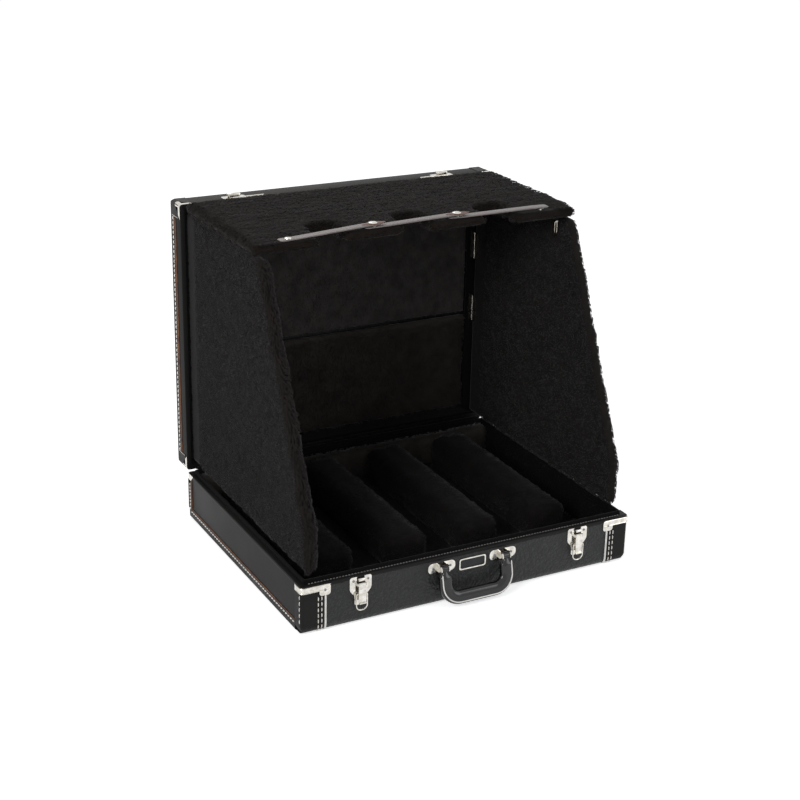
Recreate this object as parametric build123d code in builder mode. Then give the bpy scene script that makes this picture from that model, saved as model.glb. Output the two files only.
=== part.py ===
from build123d import *
import math
import os

# Guitar stand case: a low base tray with three guitar channels, and a deep lid that
# stands upright behind it. Two padded wings swing out of the lid, a padded top panel
# lies across them, and a strap along its front edge locks the guitar necks in place.
# Millimetres, +X right, +Y back, +Z up. The origin is the middle of the base underside.

# Overall box
case_width = 640
case_depth = 508
base_height = 90
lid_depth = 50

# Small round bars, bores and screw heads have this many sides, which keeps them light
bar_sides = 12

# Boards, linings and edges
wall = 9
liner = 4
floor_board = 7
back_board = 5
edge_radius = 14
lid_edge_radius = 7
corner_radius = 5
lip_rise = 7
lip_round = 1.6

# Padding in the base
floor_pad_height = 17
ridge_count = 4
ridge_width = 75
channel_width = 68
ridge_height = 62
ridge_bevel = 10
front_trough = 82
bolster_depth = 25
bolster_height = 64
bolster_round = 10

# Hinges between base and lid
hinge_count = 3
hinge_pitch = 215
hinge_length = 64
hinge_knuckles = 3
knuckle_radius = 2.6
knuckle_clearance = 0.4
pin_radius = 1.5
pivot_clearance = 0.05
leaf_thickness = 1.2
leaf_length = 26
rim_gap = 1.0

# Padding in the lid and the battens that carry the wings
lower_pad_thickness = 12
lower_pad_height = 203
lower_pad_bevel = 14
pad_side_gap = 2
batten_width = 15

# Wings
wing_thickness = 14
wing_reach = 504.5
wing_knee_height = 77
wing_slope_run = 180
wing_bottom_gap = 1.2
wing_bevel = 4
wing_knee_round = 30
wing_nose_round = 12
wing_fold_depth = 11
wing_stagger = 19.5
wing_hinge_length = 52
wing_hinge_knuckles = 3
wing_hinge_low = 327
wing_hinge_high = 455
wing_leaf_width = 13.5
wing_knuckle_radius = 2.2
wing_pin_radius = 1.1
wing_axis_inset = 0.5

# Top panel
panel_gap = 1.0
panel_thickness = 17
panel_reach = 303
panel_rear_gap = 2.5
panel_side_inset = 9
panel_bevel = 5
ear_length = 16
ear_round = 12
tongue_round = 8
notch_round = 20
notch_width = 55
notch_depth = 68
panel_hinge_offset = 190
panel_hinge_length = 60
panel_hinge_knuckles = 3
panel_leaf_height = 11
panel_leaf_thickness = 1.0
panel_knuckle_radius = 2.2
panel_pin_radius = 1.1
panel_rebate = 1.6
panel_hinge_gap = 0.6

# Neck strap, in one segment for each notch
notch_count = 3
notch_pitch = 162
strap_width = 25
strap_thickness = 2.2
strap_setback = 11
strap_bow = 14
strap_tail = 15
strap_heel = 13
strap_crank = 14
strap_bevel = 6
stud_shank_radius = 2.4
stud_head_radius = 6.5
stud_head_height = 1.6
stud_foot_radius = 8
stud_foot_height = 0.8
strap_clearance = 0.2
cap_radius = 7.5
cap_height = 3.2

# Handle
handle_span = 120
handle_drop = 66
handle_pivot_drop = 19
handle_pivot_offset = 10
handle_lean = 13
handle_bend = 30
finger_bend = 14
grip_width = 24
grip_thickness = 15
grip_round = 4.5
grip_shoulder = 9
grip_flare = 22
lug_width = 12
lug_radius = 6.5
lug_play = 0.5
handle_pin_radius = 2.0
mount_length = 52
mount_height = 19
mount_plate = 1.5
mount_round = 8
cheek_thickness = 2.0
cheek_radius = 6.5

# Draw latches
latch_offset = 213
latch_width = 40
latch_drop = 2
latch_height = 52
latch_shoulder = 24
latch_taper = 11
latch_neck = 22
latch_gap = 14
latch_gap_depth = 16
latch_bevel = 2.5
latch_plate = 1.4
latch_pivot_drop = 15
latch_pivot_offset = 6.2
lever_width = 13
lever_length = 34
lever_thickness = 1.4
lever_barrel_radius = 2.6
lever_play = 0.4
lever_lip = 2.5
latch_pin_radius = 1.2
latch_cheek = 1.4
loop_pivot_drop = 17
loop_eye_radius = 2.2
loop_length = 34
loop_width = 22
loop_wire_radius = 1.1
loop_bend = 2
loop_bow = 8.5
bow_share = 0.3
strike_width = 44
strike_length = 18
strike_setback = 3.5
strike_plate = 1.4
strike_round = 4
strike_hook_setback = 5
strike_hook_height = 6.5
strike_hook_length = 5
strike_hook_width = 18

# Wing catches
catch_setback = 36
catch_drop = 4
catch_width = 20
catch_height = 38
catch_neck = 9
catch_shoulder = 18
catch_round = 3
catch_plate = 1.2
catch_pivot_drop = 9
catch_pivot_offset = 2.7
catch_lever_width = 7
catch_lever_length = 22
catch_lever_thickness = 1.1
catch_barrel_radius = 1.4
catch_trunnion_radius = 0.8
catch_cheek = 1.0
catch_play = 0.3
keeper_plate = 1.0

# Trim on the outside
trim_foot = 4
leather_width = 40
leather_thickness = 1.0
leather_wrap = 24
piping_width = 4
piping_rise = 1.6
corner_plate = 1.0
corner_strip_height = 11
corner_strip_drop = 2
corner_strip_wrap = 22
corner_tab = 20
corner_tab_round = 5
cap_arm = 26
badge_length = 52
badge_height = 21
badge_thickness = 1.4
badge_frame = 2.2
badge_frame_rise = 0.8
badge_round = 4
badge_drop = 23
screw_radius = 2.4
screw_height = 0.9

os.makedirs("parts", exist_ok=True)

# Places worked out from the driving dimensions
half_width = case_width / 2
half_depth = case_depth / 2
inner_half_width = half_width - wall - liner
inner_half_depth = half_depth - wall - liner
front_face = -half_depth
pad_top = floor_board + floor_pad_height
ridge_front = front_trough - inner_half_depth
bolster_front = inner_half_depth - bolster_depth
hinge_offset = knuckle_radius + knuckle_clearance
hinge_y = half_depth + hinge_offset
hinge_z = base_height + rim_gap / 2
lid_front = hinge_y + rim_gap / 2
lid_back = lid_front + lid_depth
lid_bottom = hinge_z + hinge_offset
lid_top = lid_bottom + case_depth
lid_inner_bottom = lid_bottom + wall + liner
lid_inner_top = lid_top - wall - liner
board_front = lid_back - back_board
upper_lining_front = board_front - liner
lower_pad_top = lid_inner_bottom + lower_pad_height
wing_inner_x = inner_half_width - batten_width
back_pad_half = wing_inner_x - pad_side_gap
wing_axis_x = wing_inner_x - wing_axis_inset
wing_axis_gap = wing_knuckle_radius + knuckle_clearance
wing_axis_y = {"right": lid_front + wing_fold_depth, "left": lid_front + wing_fold_depth + wing_stagger}
wing_front = wing_axis_y["right"] - wing_reach
wing_bottom = lid_inner_bottom + wing_bottom_gap
wing_top = lid_inner_top - wing_bottom_gap
panel_bottom = wing_top + panel_gap
panel_top = panel_bottom + panel_thickness
panel_rear = lid_front - panel_rear_gap
panel_front = panel_rear - panel_reach
panel_mid_front = panel_front + ear_length
panel_half_width = half_width - panel_side_inset
panel_hinge_y = lid_front - panel_hinge_gap
panel_hinge_z = lid_top + panel_knuckle_radius + panel_hinge_gap
handle_pivot_height = base_height - handle_pivot_drop
latch_top = base_height - latch_drop
latch_pivot_height = base_height - latch_pivot_drop
badge_centre_height = base_height - badge_drop
sides = {"left": -1, "right": 1}


def keep(piece, name):
    """Name a finished piece and write its STEP file."""
    piece.label = name
    export_step(piece, f"parts/{name}.step")


def group(pieces, name):
    """Write several separate solids of one kind as one file."""
    keep(Compound(children=list(pieces)), name)


def block(x0, x1, y0, y1, z0, z1):
    """A square-edged board between two corners."""
    with BuildPart() as piece:
        with BuildSketch(Plane.XY.offset(z0)):
            with Locations(((x0 + x1) / 2, (y0 + y1) / 2)):
                Rectangle(abs(x1 - x0), abs(y1 - y0))
        extrude(amount=z1 - z0)
    return piece.part


def clipped(body, *corners):
    """The stretch of a body that lies between two corners."""
    with BuildPart() as piece:
        add(body)
        add(block(*corners), mode=Mode.INTERSECT)
    return piece.part


def base_form(grow):
    """The outside of the tray, grown sideways by the thickness of what lies on it."""
    with BuildPart() as form:
        with BuildSketch():
            Rectangle(case_width + 2 * grow, case_depth + 2 * grow)
        extrude(amount=base_height)
        fillet(form.edges().filter_by(Axis.Z), radius=corner_radius + grow)
        fillet(form.faces().sort_by(Axis.Z)[0].edges(), radius=edge_radius + grow)
    return form.part


def lid_form(grow):
    """The outside of the lid, grown sideways in the same way."""
    with BuildPart() as form:
        ends = (lid_bottom - grow, lid_top + grow)
        add(block(-half_width - grow, half_width + grow, lid_front, lid_back + grow, *ends))
        fillet(form.edges().filter_by(Axis.Y), radius=corner_radius + grow)
        fillet(form.faces().sort_by(Axis.Y)[-1].edges(), radius=lid_edge_radius + grow)
    return form.part


def skin(form, inside, outside, *corners):
    """The layer between two growths of a form, within two corners."""
    with BuildPart() as layer:
        add(form(outside))
        add(block(*corners), mode=Mode.INTERSECT)
        add(form(inside), mode=Mode.SUBTRACT)
    return layer.part


# Base tray: five covered plywood boards cut from one round-edged box
tray = base_form(0)
wall_in_x = half_width - wall
wall_in_y = half_depth - wall
keep(clipped(tray, -half_width, half_width, -half_depth, -wall_in_y, 0, base_height), "base_front_wall")
keep(clipped(tray, -half_width, half_width, wall_in_y, half_depth, 0, base_height), "base_rear_wall")
keep(clipped(tray, -half_width, -wall_in_x, -wall_in_y, wall_in_y, 0, base_height), "base_left_wall")
keep(clipped(tray, wall_in_x, half_width, -wall_in_y, wall_in_y, 0, base_height), "base_right_wall")
keep(clipped(tray, -wall_in_x, wall_in_x, -wall_in_y, wall_in_y, 0, floor_board), "base_floor")


def lip_board(x0, x1, y0, y1, top, along):
    """A lining board with its two top edges rounded where it stands out of the tray."""
    with BuildPart() as board:
        add(block(x0, x1, y0, y1, floor_board, top))
        fillet(board.edges().filter_by(along).group_by(Axis.Z)[-1], radius=lip_round)
    return board.part


lip_top = base_height + lip_rise
keep(lip_board(-wall_in_x, wall_in_x, -wall_in_y, -inner_half_depth, lip_top, Axis.X), "front_liner")
keep(lip_board(-wall_in_x, wall_in_x, inner_half_depth, wall_in_y, lip_top, Axis.X), "rear_liner")


def side_liner(side):
    """The lining board of one side wall, between the front and rear ones."""
    x0, x1 = sorted((side * wall_in_x, side * inner_half_width))
    return lip_board(x0, x1, -inner_half_depth, inner_half_depth, lip_top, Axis.Y)


group([side_liner(side) for side in sides.values()], "side_liners")

# Floor pad, four ridges that part the guitar bodies, and the bolster behind them
keep(
    block(-inner_half_width, inner_half_width, -inner_half_depth, inner_half_depth, floor_board, pad_top),
    "floor_pad",
)


def ridge(centre):
    """A foam ridge with a bevelled top and nose, butted against the bolster."""
    left = centre - ridge_width / 2
    with BuildPart() as pad:
        add(block(left, left + ridge_width, ridge_front, bolster_front, pad_top, pad_top + ridge_height))
        chamfer(pad.edges().filter_by(Axis.Z).group_by(Axis.Y)[0], length=ridge_bevel)
        top = pad.faces().sort_by(Axis.Z)[-1]
        chamfer(top.edges() - top.edges().filter_by(Axis.X).group_by(Axis.Y)[-1], length=ridge_bevel)
    return pad.part


first_ridge = -(ridge_count - 1) * (ridge_width + channel_width) / 2
group([ridge(first_ridge + i * (ridge_width + channel_width)) for i in range(ridge_count)], "ridge_pads")

with BuildPart() as rear_bolster:
    bolster_top = pad_top + bolster_height
    add(block(-inner_half_width, inner_half_width, bolster_front, inner_half_depth, pad_top, bolster_top))
    upper = rear_bolster.edges().filter_by(Axis.X).group_by(Axis.Z)[-1]
    fillet(upper.sort_by(Axis.Y)[0], radius=bolster_round)
keep(rear_bolster.part, "rear_bolster")


def butt_hinge(axis, spread, towards, length, knuckles, own, radius, bore, seat, thickness, reach):
    """One leaf of a butt hinge with its own knuckles, bored for the pin.

    axis is the pin's middle, spread runs along the pin, and towards points at the face
    that the leaf is screwed to, which lies a distance seat from the pin. The leaf runs
    away from the pin at right angles to both. own is 0 or 1, for the even or odd knuckles.
    """
    face = Plane(origin=axis, x_dir=spread, z_dir=towards)
    end = Plane(origin=axis, x_dir=towards, z_dir=spread)
    pitch = length / knuckles
    middles = [(i - (knuckles - 1) / 2) * pitch for i in range(knuckles) if i % 2 == own]
    with BuildPart() as leaf:
        with BuildSketch(face.offset(seat - thickness)):
            with Locations((0, (radius + knuckle_clearance + reach) / 2)):
                Rectangle(length, reach - radius - knuckle_clearance)
            with Locations(*[(middle, reach / 4) for middle in middles]):
                Rectangle(pitch - knuckle_clearance, reach / 2)
        extrude(amount=thickness)
        for middle in middles:
            with BuildSketch(end.offset(middle)):
                RegularPolygon(radius, bar_sides)
            extrude(amount=(pitch - knuckle_clearance) / 2, both=True)
        with BuildSketch(end):
            RegularPolygon(bore, bar_sides, major_radius=False)
        extrude(amount=length, both=True, mode=Mode.SUBTRACT)
    return leaf.part


def hinge_pin(axis, spread, length, radius):
    """A plain steel pin, centred on its hinge."""
    with BuildPart() as pin:
        with BuildSketch(Plane(origin=axis, z_dir=spread)):
            RegularPolygon(radius, bar_sides)
        extrude(amount=length / 2, both=True)
    return pin.part


# Three butt hinges let the lid tip back from the rear wall of the tray
hinge_places = [((i - (hinge_count - 1) / 2) * hinge_pitch, hinge_y, hinge_z) for i in range(hinge_count)]
case_hinge = (hinge_length, hinge_knuckles)
case_leaf = (knuckle_radius, pin_radius + pivot_clearance, hinge_offset, leaf_thickness, leaf_length)
fixed_leaf = (knuckle_radius, pin_radius, hinge_offset, leaf_thickness, leaf_length)
rear_wall_leaves = [butt_hinge(p, (-1, 0, 0), (0, -1, 0), *case_hinge, 0, *fixed_leaf) for p in hinge_places]
lid_wall_leaves = [butt_hinge(p, (1, 0, 0), (0, 0, 1), *case_hinge, 1, *case_leaf) for p in hinge_places]
group(rear_wall_leaves, "base_hinge_leaves")
group(lid_wall_leaves, "lid_hinge_leaves")
group([hinge_pin(p, (1, 0, 0), hinge_length, pin_radius) for p in hinge_places], "lid_hinge_pins")

# Lid: four walls and a back board, cut from a second round-edged box
shell = lid_form(0)
lid_wall_low = lid_bottom + wall
lid_wall_high = lid_top - wall
lid_deep = (lid_front, lid_back)
lid_tall = (lid_wall_low, lid_wall_high)
keep(clipped(shell, -half_width, half_width, *lid_deep, lid_wall_high, lid_top), "lid_top_wall")
keep(clipped(shell, -half_width, half_width, *lid_deep, lid_bottom, lid_wall_low), "lid_bottom_wall")
keep(clipped(shell, -half_width, -wall_in_x, *lid_deep, *lid_tall), "lid_left_wall")
keep(clipped(shell, wall_in_x, half_width, *lid_deep, *lid_tall), "lid_right_wall")
keep(clipped(shell, -wall_in_x, wall_in_x, board_front, lid_back, *lid_tall), "lid_back_board")

# Plush-covered linings on the inside of the lid
group(
    [
        block(-wall_in_x, wall_in_x, lid_front, board_front, low, low + liner)
        for low in (lid_wall_low, lid_inner_top)
    ],
    "lid_end_linings",
)
group(
    [
        block(
            *sorted((side * wall_in_x, side * inner_half_width)),
            lid_front,
            board_front,
            lid_inner_bottom,
            lid_inner_top,
        )
        for side in sides.values()
    ],
    "lid_side_linings",
)
keep(
    block(-back_pad_half, back_pad_half, upper_lining_front, board_front, lower_pad_top, lid_inner_top),
    "upper_back_lining",
)

with BuildPart() as lower_back_pad:
    with BuildSketch(Plane.YZ.offset(-back_pad_half)):
        with BuildLine():
            Polyline(
                (board_front, lid_inner_bottom),
                (board_front - lower_pad_thickness, lid_inner_bottom),
                (board_front - lower_pad_thickness, lower_pad_top - lower_pad_bevel),
                (upper_lining_front, lower_pad_top),
                (board_front, lower_pad_top),
                close=True,
            )
        make_face()
    extrude(amount=2 * back_pad_half)
keep(lower_back_pad.part, "lower_back_pad")

# Two battens stand in the lid's corners, the left one deeper, so that the wings fold in layers
group(
    [
        block(
            *sorted((side * wing_inner_x, side * inner_half_width)),
            wing_axis_y[hand] + wing_axis_gap,
            board_front,
            lid_inner_bottom,
            lid_inner_top,
        )
        for hand, side in sides.items()
    ],
    "hinge_battens",
)

# Padded wings, one outline for both hands
wing_high = wing_top - wing_bottom


def wing(hand):
    """A padded side wing: upright low nose, long sloping front edge and square back."""
    rear = wing_axis_y[hand] - wing_axis_gap
    start = wing_inner_x if hand == "right" else -wing_inner_x - wing_thickness
    with BuildPart() as pad:
        with BuildSketch(Plane.YZ.offset(start)) as outline:
            with BuildLine():
                Polyline(
                    (rear, wing_bottom),
                    (wing_front, wing_bottom),
                    (wing_front, wing_bottom + wing_knee_height),
                    (wing_front + wing_slope_run, wing_top),
                    (rear, wing_top),
                    close=True,
                )
            make_face()
            fillet(outline.vertices().group_by(Axis.X)[0].sort_by(Axis.Y)[-1], radius=wing_knee_round)
            fillet(outline.vertices().group_by(Axis.Y)[0].sort_by(Axis.X)[0], radius=wing_nose_round)
            fillet(outline.vertices().group_by(Axis.Y)[-1].sort_by(Axis.X)[0], radius=wing_nose_round)
        extrude(amount=wing_thickness)
        hinged_edges = pad.faces().sort_by(Axis.Y)[-1].edges()
        chamfer(pad.faces().filter_by(Axis.X).edges() - hinged_edges, length=wing_bevel)
    return pad.part


keep(wing("left"), "wing_left")
keep(wing("right"), "wing_right")

# Wing hinges: two on each batten
wing_hinge = (wing_hinge_length, wing_hinge_knuckles)
wing_plate = (wing_axis_inset, leaf_thickness, wing_leaf_width)
fixed_barrel = (wing_knuckle_radius, wing_pin_radius)
loose_barrel = (wing_knuckle_radius, wing_pin_radius + pivot_clearance)
frame_leaves = []
wing_pins = []
for hand, side in sides.items():
    places = [(side * wing_axis_x, wing_axis_y[hand], z) for z in (wing_hinge_low, wing_hinge_high)]
    facing = (side, 0, 0)
    up = (0, 0, side)
    down = (0, 0, -side)
    frame_leaves += [butt_hinge(p, down, facing, *wing_hinge, 0, *fixed_barrel, *wing_plate) for p in places]
    wing_pins += [hinge_pin(p, (0, 0, 1), wing_hinge_length, wing_pin_radius) for p in places]
    loose = [butt_hinge(p, up, facing, *wing_hinge, 1, *loose_barrel, *wing_plate) for p in places]
    group(loose, f"wing_{hand}_leaves")
group(frame_leaves, "wing_frame_leaves")
group(wing_pins, "wing_hinge_pins")


def keeper(x):
    """A small steel plate let into the underside of the panel above a wing catch."""
    half = catch_lever_length / 2 - catch_play
    height = (panel_bottom, panel_bottom + keeper_plate)
    return block(x - half / 2, x + half / 2, catch_y - half, catch_y + half, *height)


# Padded top panel: two ears reach forward past the notches for the guitar necks
notch_places = [(i - (notch_count - 1) / 2) * notch_pitch for i in range(notch_count)]
ear_inner = notch_places[-1] + notch_width / 2
catch_y = panel_front + catch_setback
keeper_x = wing_inner_x - catch_width / 2
with BuildPart() as top_panel:
    with BuildSketch(Plane.XY.offset(panel_bottom)) as outline:
        with Locations((0, (panel_mid_front + panel_rear) / 2)):
            Rectangle(2 * panel_half_width, panel_rear - panel_mid_front)
        ear_middle = (panel_half_width + ear_inner) / 2
        with Locations(*[(side * ear_middle, panel_mid_front) for side in sides.values()]):
            Rectangle(panel_half_width - ear_inner, 2 * ear_length)
        with Locations(*[(x, panel_mid_front) for x in notch_places]):
            Rectangle(notch_width, 2 * notch_depth, mode=Mode.SUBTRACT)
        fillet(outline.vertices().group_by(Axis.Y)[2], radius=notch_round)
        fillet(outline.vertices().group_by(Axis.Y)[1], radius=tongue_round)
        fillet(outline.vertices().group_by(Axis.Y)[0], radius=ear_round)
    extrude(amount=panel_thickness)
    for face in (top_panel.faces().sort_by(Axis.Z)[-1], top_panel.faces().sort_by(Axis.Z)[0]):
        chamfer(face.edges() - face.edges().sort_by(Axis.Y)[-1:], length=panel_bevel)
    add(
        block(
            -half_width,
            half_width,
            panel_rear - panel_rebate,
            half_depth + lid_depth,
            panel_hinge_z - panel_knuckle_radius - panel_hinge_gap,
            panel_top,
        ),
        mode=Mode.SUBTRACT,
    )
    for side in sides.values():
        add(keeper(side * keeper_x), mode=Mode.SUBTRACT)
keep(top_panel.part, "top_panel")
group([keeper(side * keeper_x) for side in sides.values()], "panel_keepers")

# Panel hinges on the front rim of the lid's top wall
panel_hinge = (panel_hinge_length, panel_hinge_knuckles)
panel_places = [(side * panel_hinge_offset, panel_hinge_y, panel_hinge_z) for side in sides.values()]
rim_plate = (panel_hinge_gap, panel_leaf_thickness, panel_leaf_height)
rear_plate = (panel_hinge_y - panel_rear, panel_leaf_thickness, panel_leaf_height)
tight = (panel_knuckle_radius, panel_pin_radius)
free = (panel_knuckle_radius, panel_pin_radius + pivot_clearance)
rim_leaves = [butt_hinge(p, (1, 0, 0), (0, 1, 0), *panel_hinge, 0, *tight, *rim_plate) for p in panel_places]
turn_back = ((-1, 0, 0), (0, -1, 0))
edge_leaves = [butt_hinge(p, *turn_back, *panel_hinge, 1, *free, *rear_plate) for p in panel_places]
panel_pins = [hinge_pin(p, (1, 0, 0), panel_hinge_length, panel_pin_radius) for p in panel_places]
group(rim_leaves, "panel_frame_leaves")
group(edge_leaves, "panel_leaves")
group(panel_pins, "panel_hinge_pins")

# Four studs on the panel carry the neck strap
stud_x = [(i - notch_count / 2) * notch_pitch for i in range(notch_count + 1)]
stud_inner_y = panel_mid_front + strap_setback
stud_y = [stud_inner_y - strap_bow if i in (0, notch_count) else stud_inner_y for i in range(notch_count + 1)]
strap_low = panel_top + stud_foot_height + strap_clearance
head_low = strap_low + strap_thickness + strap_clearance
strap_high = head_low + stud_head_height + strap_clearance


def disc(x, y, z, height, radius, across_corners=True):
    """A round plate, or a bore measured across its flats, that stands on a level."""
    with BuildPart() as plate:
        with BuildSketch(Plane.XY.offset(z)):
            with Locations((x, y)):
                RegularPolygon(radius, bar_sides, major_radius=across_corners)
        extrude(amount=height)
    return plate.part


def stud(x, y):
    """A foot disc, a shank the strap turns on, and a head the next strap snaps over."""
    with BuildPart() as piece:
        add(disc(x, y, panel_top, stud_foot_height, stud_foot_radius))
        add(disc(x, y, panel_top, head_low - panel_top, stud_shank_radius))
        add(disc(x, y, head_low, stud_head_height, stud_head_radius))
        chamfer(piece.faces().sort_by(Axis.Z)[-1].edges(), length=stud_head_height / 2)
    return piece.part


group([stud(x, y) for x, y in zip(stud_x, stud_y)], "strap_studs")


def strap(start, end):
    """One leather segment: bored for its own stud, stepped up over the next one, and capped."""
    run = math.dist(start, end)
    along = Vector(end[0] - start[0], end[1] - start[1], 0) / run
    side_on = Plane(origin=(*start, 0), x_dir=along, z_dir=along.cross(Vector(0, 0, 1)))
    step_end = run - strap_tail - stud_shank_radius
    step_start = step_end - strap_crank
    path = [
        (-strap_tail, strap_low),
        (step_start, strap_low),
        (step_end, strap_high),
        (run + strap_heel, strap_high),
    ]
    with BuildPart() as leather:
        with BuildSketch(side_on):
            with BuildLine():
                Polyline(*path, *[(u, z + strap_thickness) for u, z in reversed(path)], close=True)
            make_face()
        extrude(amount=strap_width / 2, both=True)
        chamfer(leather.edges().filter_by(Axis.Z), length=strap_bevel)
        bore = stud_shank_radius + pivot_clearance
        add(disc(*start, strap_low, strap_thickness, bore, False), mode=Mode.SUBTRACT)
    with BuildPart() as cap:
        add(disc(*end, strap_high + strap_thickness, cap_height, cap_radius))
        chamfer(cap.faces().sort_by(Axis.Z)[-1].edges(), length=cap_height / 2)
    return [leather.part, cap.part]


studs = list(zip(stud_x, stud_y))
for name, start, end in zip(("left", "middle", "right"), studs, studs[1:]):
    group(strap(start, end), f"strap_{name}")


def bar_x(x0, x1, y, z, radius):
    """A small round bar along X."""
    with BuildPart() as bar:
        with BuildSketch(Plane.YZ.offset(x0)):
            with Locations((y, z)):
                RegularPolygon(radius, bar_sides)
        extrude(amount=x1 - x0)
    return bar.part


def bore_x(x0, x1, y, z, radius):
    """A bore along X for a small round bar, measured across its flats."""
    with BuildPart() as hole:
        with BuildSketch(Plane.YZ.offset(x0)):
            with Locations((y, z)):
                RegularPolygon(radius, bar_sides, major_radius=False)
        extrude(amount=x1 - x0)
    return hole.part


# Carrying handle on two plated mounts
handle_y = front_face - handle_pivot_offset
handle_z = handle_pivot_height
arm_places = [side * handle_span / 2 for side in sides.values()]
front = Plane.XZ.offset(half_depth)


def cheeks(middle, gap, thickness, y, z, radius, bore, plate_face):
    """Two ears standing off a plate, bored for a pin along X."""
    with BuildPart() as pair:
        for side in sides.values():
            inner = middle + side * gap
            outer = middle + side * (gap + thickness)
            add(block(min(inner, outer), max(inner, outer), y, plate_face, z - radius, z + radius))
            add(bar_x(min(inner, outer), max(inner, outer), y, z, radius))
        add(bore_x(middle - 2 * gap, middle + 2 * gap, y, z, bore), mode=Mode.SUBTRACT)
    return pair.part


def handle_mount(x):
    """An oval plate screwed to the front wall, with two ears for the handle pin."""
    with BuildPart() as mount:
        with BuildSketch(front):
            with Locations((x, handle_z)):
                RectangleRounded(mount_length, mount_height, mount_round)
        extrude(amount=mount_plate)
        gap = lug_width / 2 + lug_play
        face = front_face - mount_plate
        add(cheeks(x, gap, cheek_thickness, handle_y, handle_z, cheek_radius, handle_pin_radius, face))
    return mount.part


pin_half = lug_width / 2 + lug_play + cheek_thickness
group([handle_mount(x) for x in arm_places], "handle_mounts")
arm_pins = [bar_x(x - pin_half, x + pin_half, handle_y, handle_z, handle_pin_radius) for x in arm_places]
group(arm_pins, "handle_pins")

hang = Plane(origin=(0, handle_y, handle_z), x_dir=(1, 0, 0), z_dir=(0, -1, 0)).rotated((-handle_lean, 0, 0))
outer_x = (handle_span + grip_width) / 2
inner_x = (handle_span - grip_width) / 2
with BuildPart() as handle_grip:
    with BuildSketch(hang) as grip_outline:
        with BuildLine():
            half = [
                (handle_span / 2 - lug_width / 2, 0),
                (handle_span / 2 - lug_width / 2, -grip_shoulder),
                (inner_x, -grip_flare),
                (inner_x, grip_width - handle_drop),
            ]
            rim = [
                (outer_x, -handle_drop),
                (outer_x, -grip_flare),
                (handle_span / 2 + lug_width / 2, -grip_shoulder),
                (handle_span / 2 + lug_width / 2, 0),
            ]
            right_side = rim + half
            left_side = [(-u, v) for u, v in reversed(right_side)]
            Polyline(*right_side, *left_side, close=True)
        make_face()
        fillet(grip_outline.vertices().group_by(Axis.Y)[0], radius=handle_bend)
        finger_level = grip_width - handle_drop
        finger_corners = grip_outline.vertices().filter_by_position(Axis.Y, finger_level, finger_level)
        fillet(finger_corners, radius=finger_bend)
    extrude(amount=grip_thickness / 2, both=True)
    chamfer(handle_grip.faces().filter_by(hang).edges(), length=grip_round)
    for x in arm_places:
        add(bar_x(x - lug_width / 2, x + lug_width / 2, handle_y, handle_z, lug_radius))
        bore = handle_pin_radius + pivot_clearance
        add(bore_x(x - lug_width, x + lug_width, handle_y, handle_z, bore), mode=Mode.SUBTRACT)
keep(handle_grip.part, "handle_grip")


def bar_y(y0, y1, side, radius, across_corners=True):
    """A small round bar, or a bore measured across its flats, on the pivot line of a wing catch."""
    with BuildPart() as bar:
        with BuildSketch(Plane.XZ.offset(-y1)):
            with Locations((side * (wing_inner_x - catch_pivot_offset), catch_z)):
                RegularPolygon(radius, bar_sides, major_radius=across_corners)
        extrude(amount=y1 - y0)
    return bar.part


# Draw latches on the front wall, with their hooked keepers on the lid's top wall
latch_y = front_face - latch_pivot_offset
latch_z = latch_pivot_height
latch_face = front_face - latch_plate
lever_face = latch_y - lever_barrel_radius
loop_z = latch_z - loop_pivot_drop


def latch_plate_body(x):
    """A shouldered nickel plate with a notch at its top and two ears for the lever pin."""
    shoulder = latch_top - latch_shoulder
    foot = latch_top - latch_height
    with BuildPart() as plate:
        with BuildSketch(front) as outline:
            with BuildLine():
                right = [
                    (latch_width / 2, latch_top),
                    (latch_width / 2, shoulder),
                    (latch_neck / 2, shoulder - latch_taper),
                    (latch_neck / 2, foot),
                ]
                Polyline(
                    *[(x + u, z) for u, z in right],
                    *[(x - u, z) for u, z in reversed(right)],
                    close=True,
                )
            make_face()
            chamfer(outline.vertices(), length=latch_bevel)
            with Locations((x, latch_top)):
                Rectangle(latch_gap, 2 * latch_gap_depth, mode=Mode.SUBTRACT)
        extrude(amount=latch_plate)
        gap = lever_width / 2 + lever_play
        add(cheeks(x, gap, latch_cheek, latch_y, latch_z, lever_barrel_radius, latch_pin_radius, latch_face))
    return plate.part


def latch_lever(x):
    """The draw lever: a barrel on the pin, a flat blade, an eye for the loop and a finger lip."""
    left = x - lever_width / 2
    right = x + lever_width / 2
    tip = latch_z - lever_length
    with BuildPart() as lever:
        add(bar_x(left, right, latch_y, latch_z, lever_barrel_radius))
        add(block(left, right, lever_face, lever_face + lever_thickness, tip, latch_z))
        add(block(left, right, lever_face - lever_lip, lever_face, tip, tip + lever_thickness))
        add(bar_x(left, right, latch_y, loop_z, loop_eye_radius))
        add(block(left, right, lever_face, latch_y, loop_z - loop_wire_radius, loop_z + loop_wire_radius))
        for z, bore in ((latch_z, latch_pin_radius), (loop_z, loop_wire_radius)):
            add(bore_x(left, right, latch_y, z, bore + pivot_clearance), mode=Mode.SUBTRACT)
    return lever.part


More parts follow.
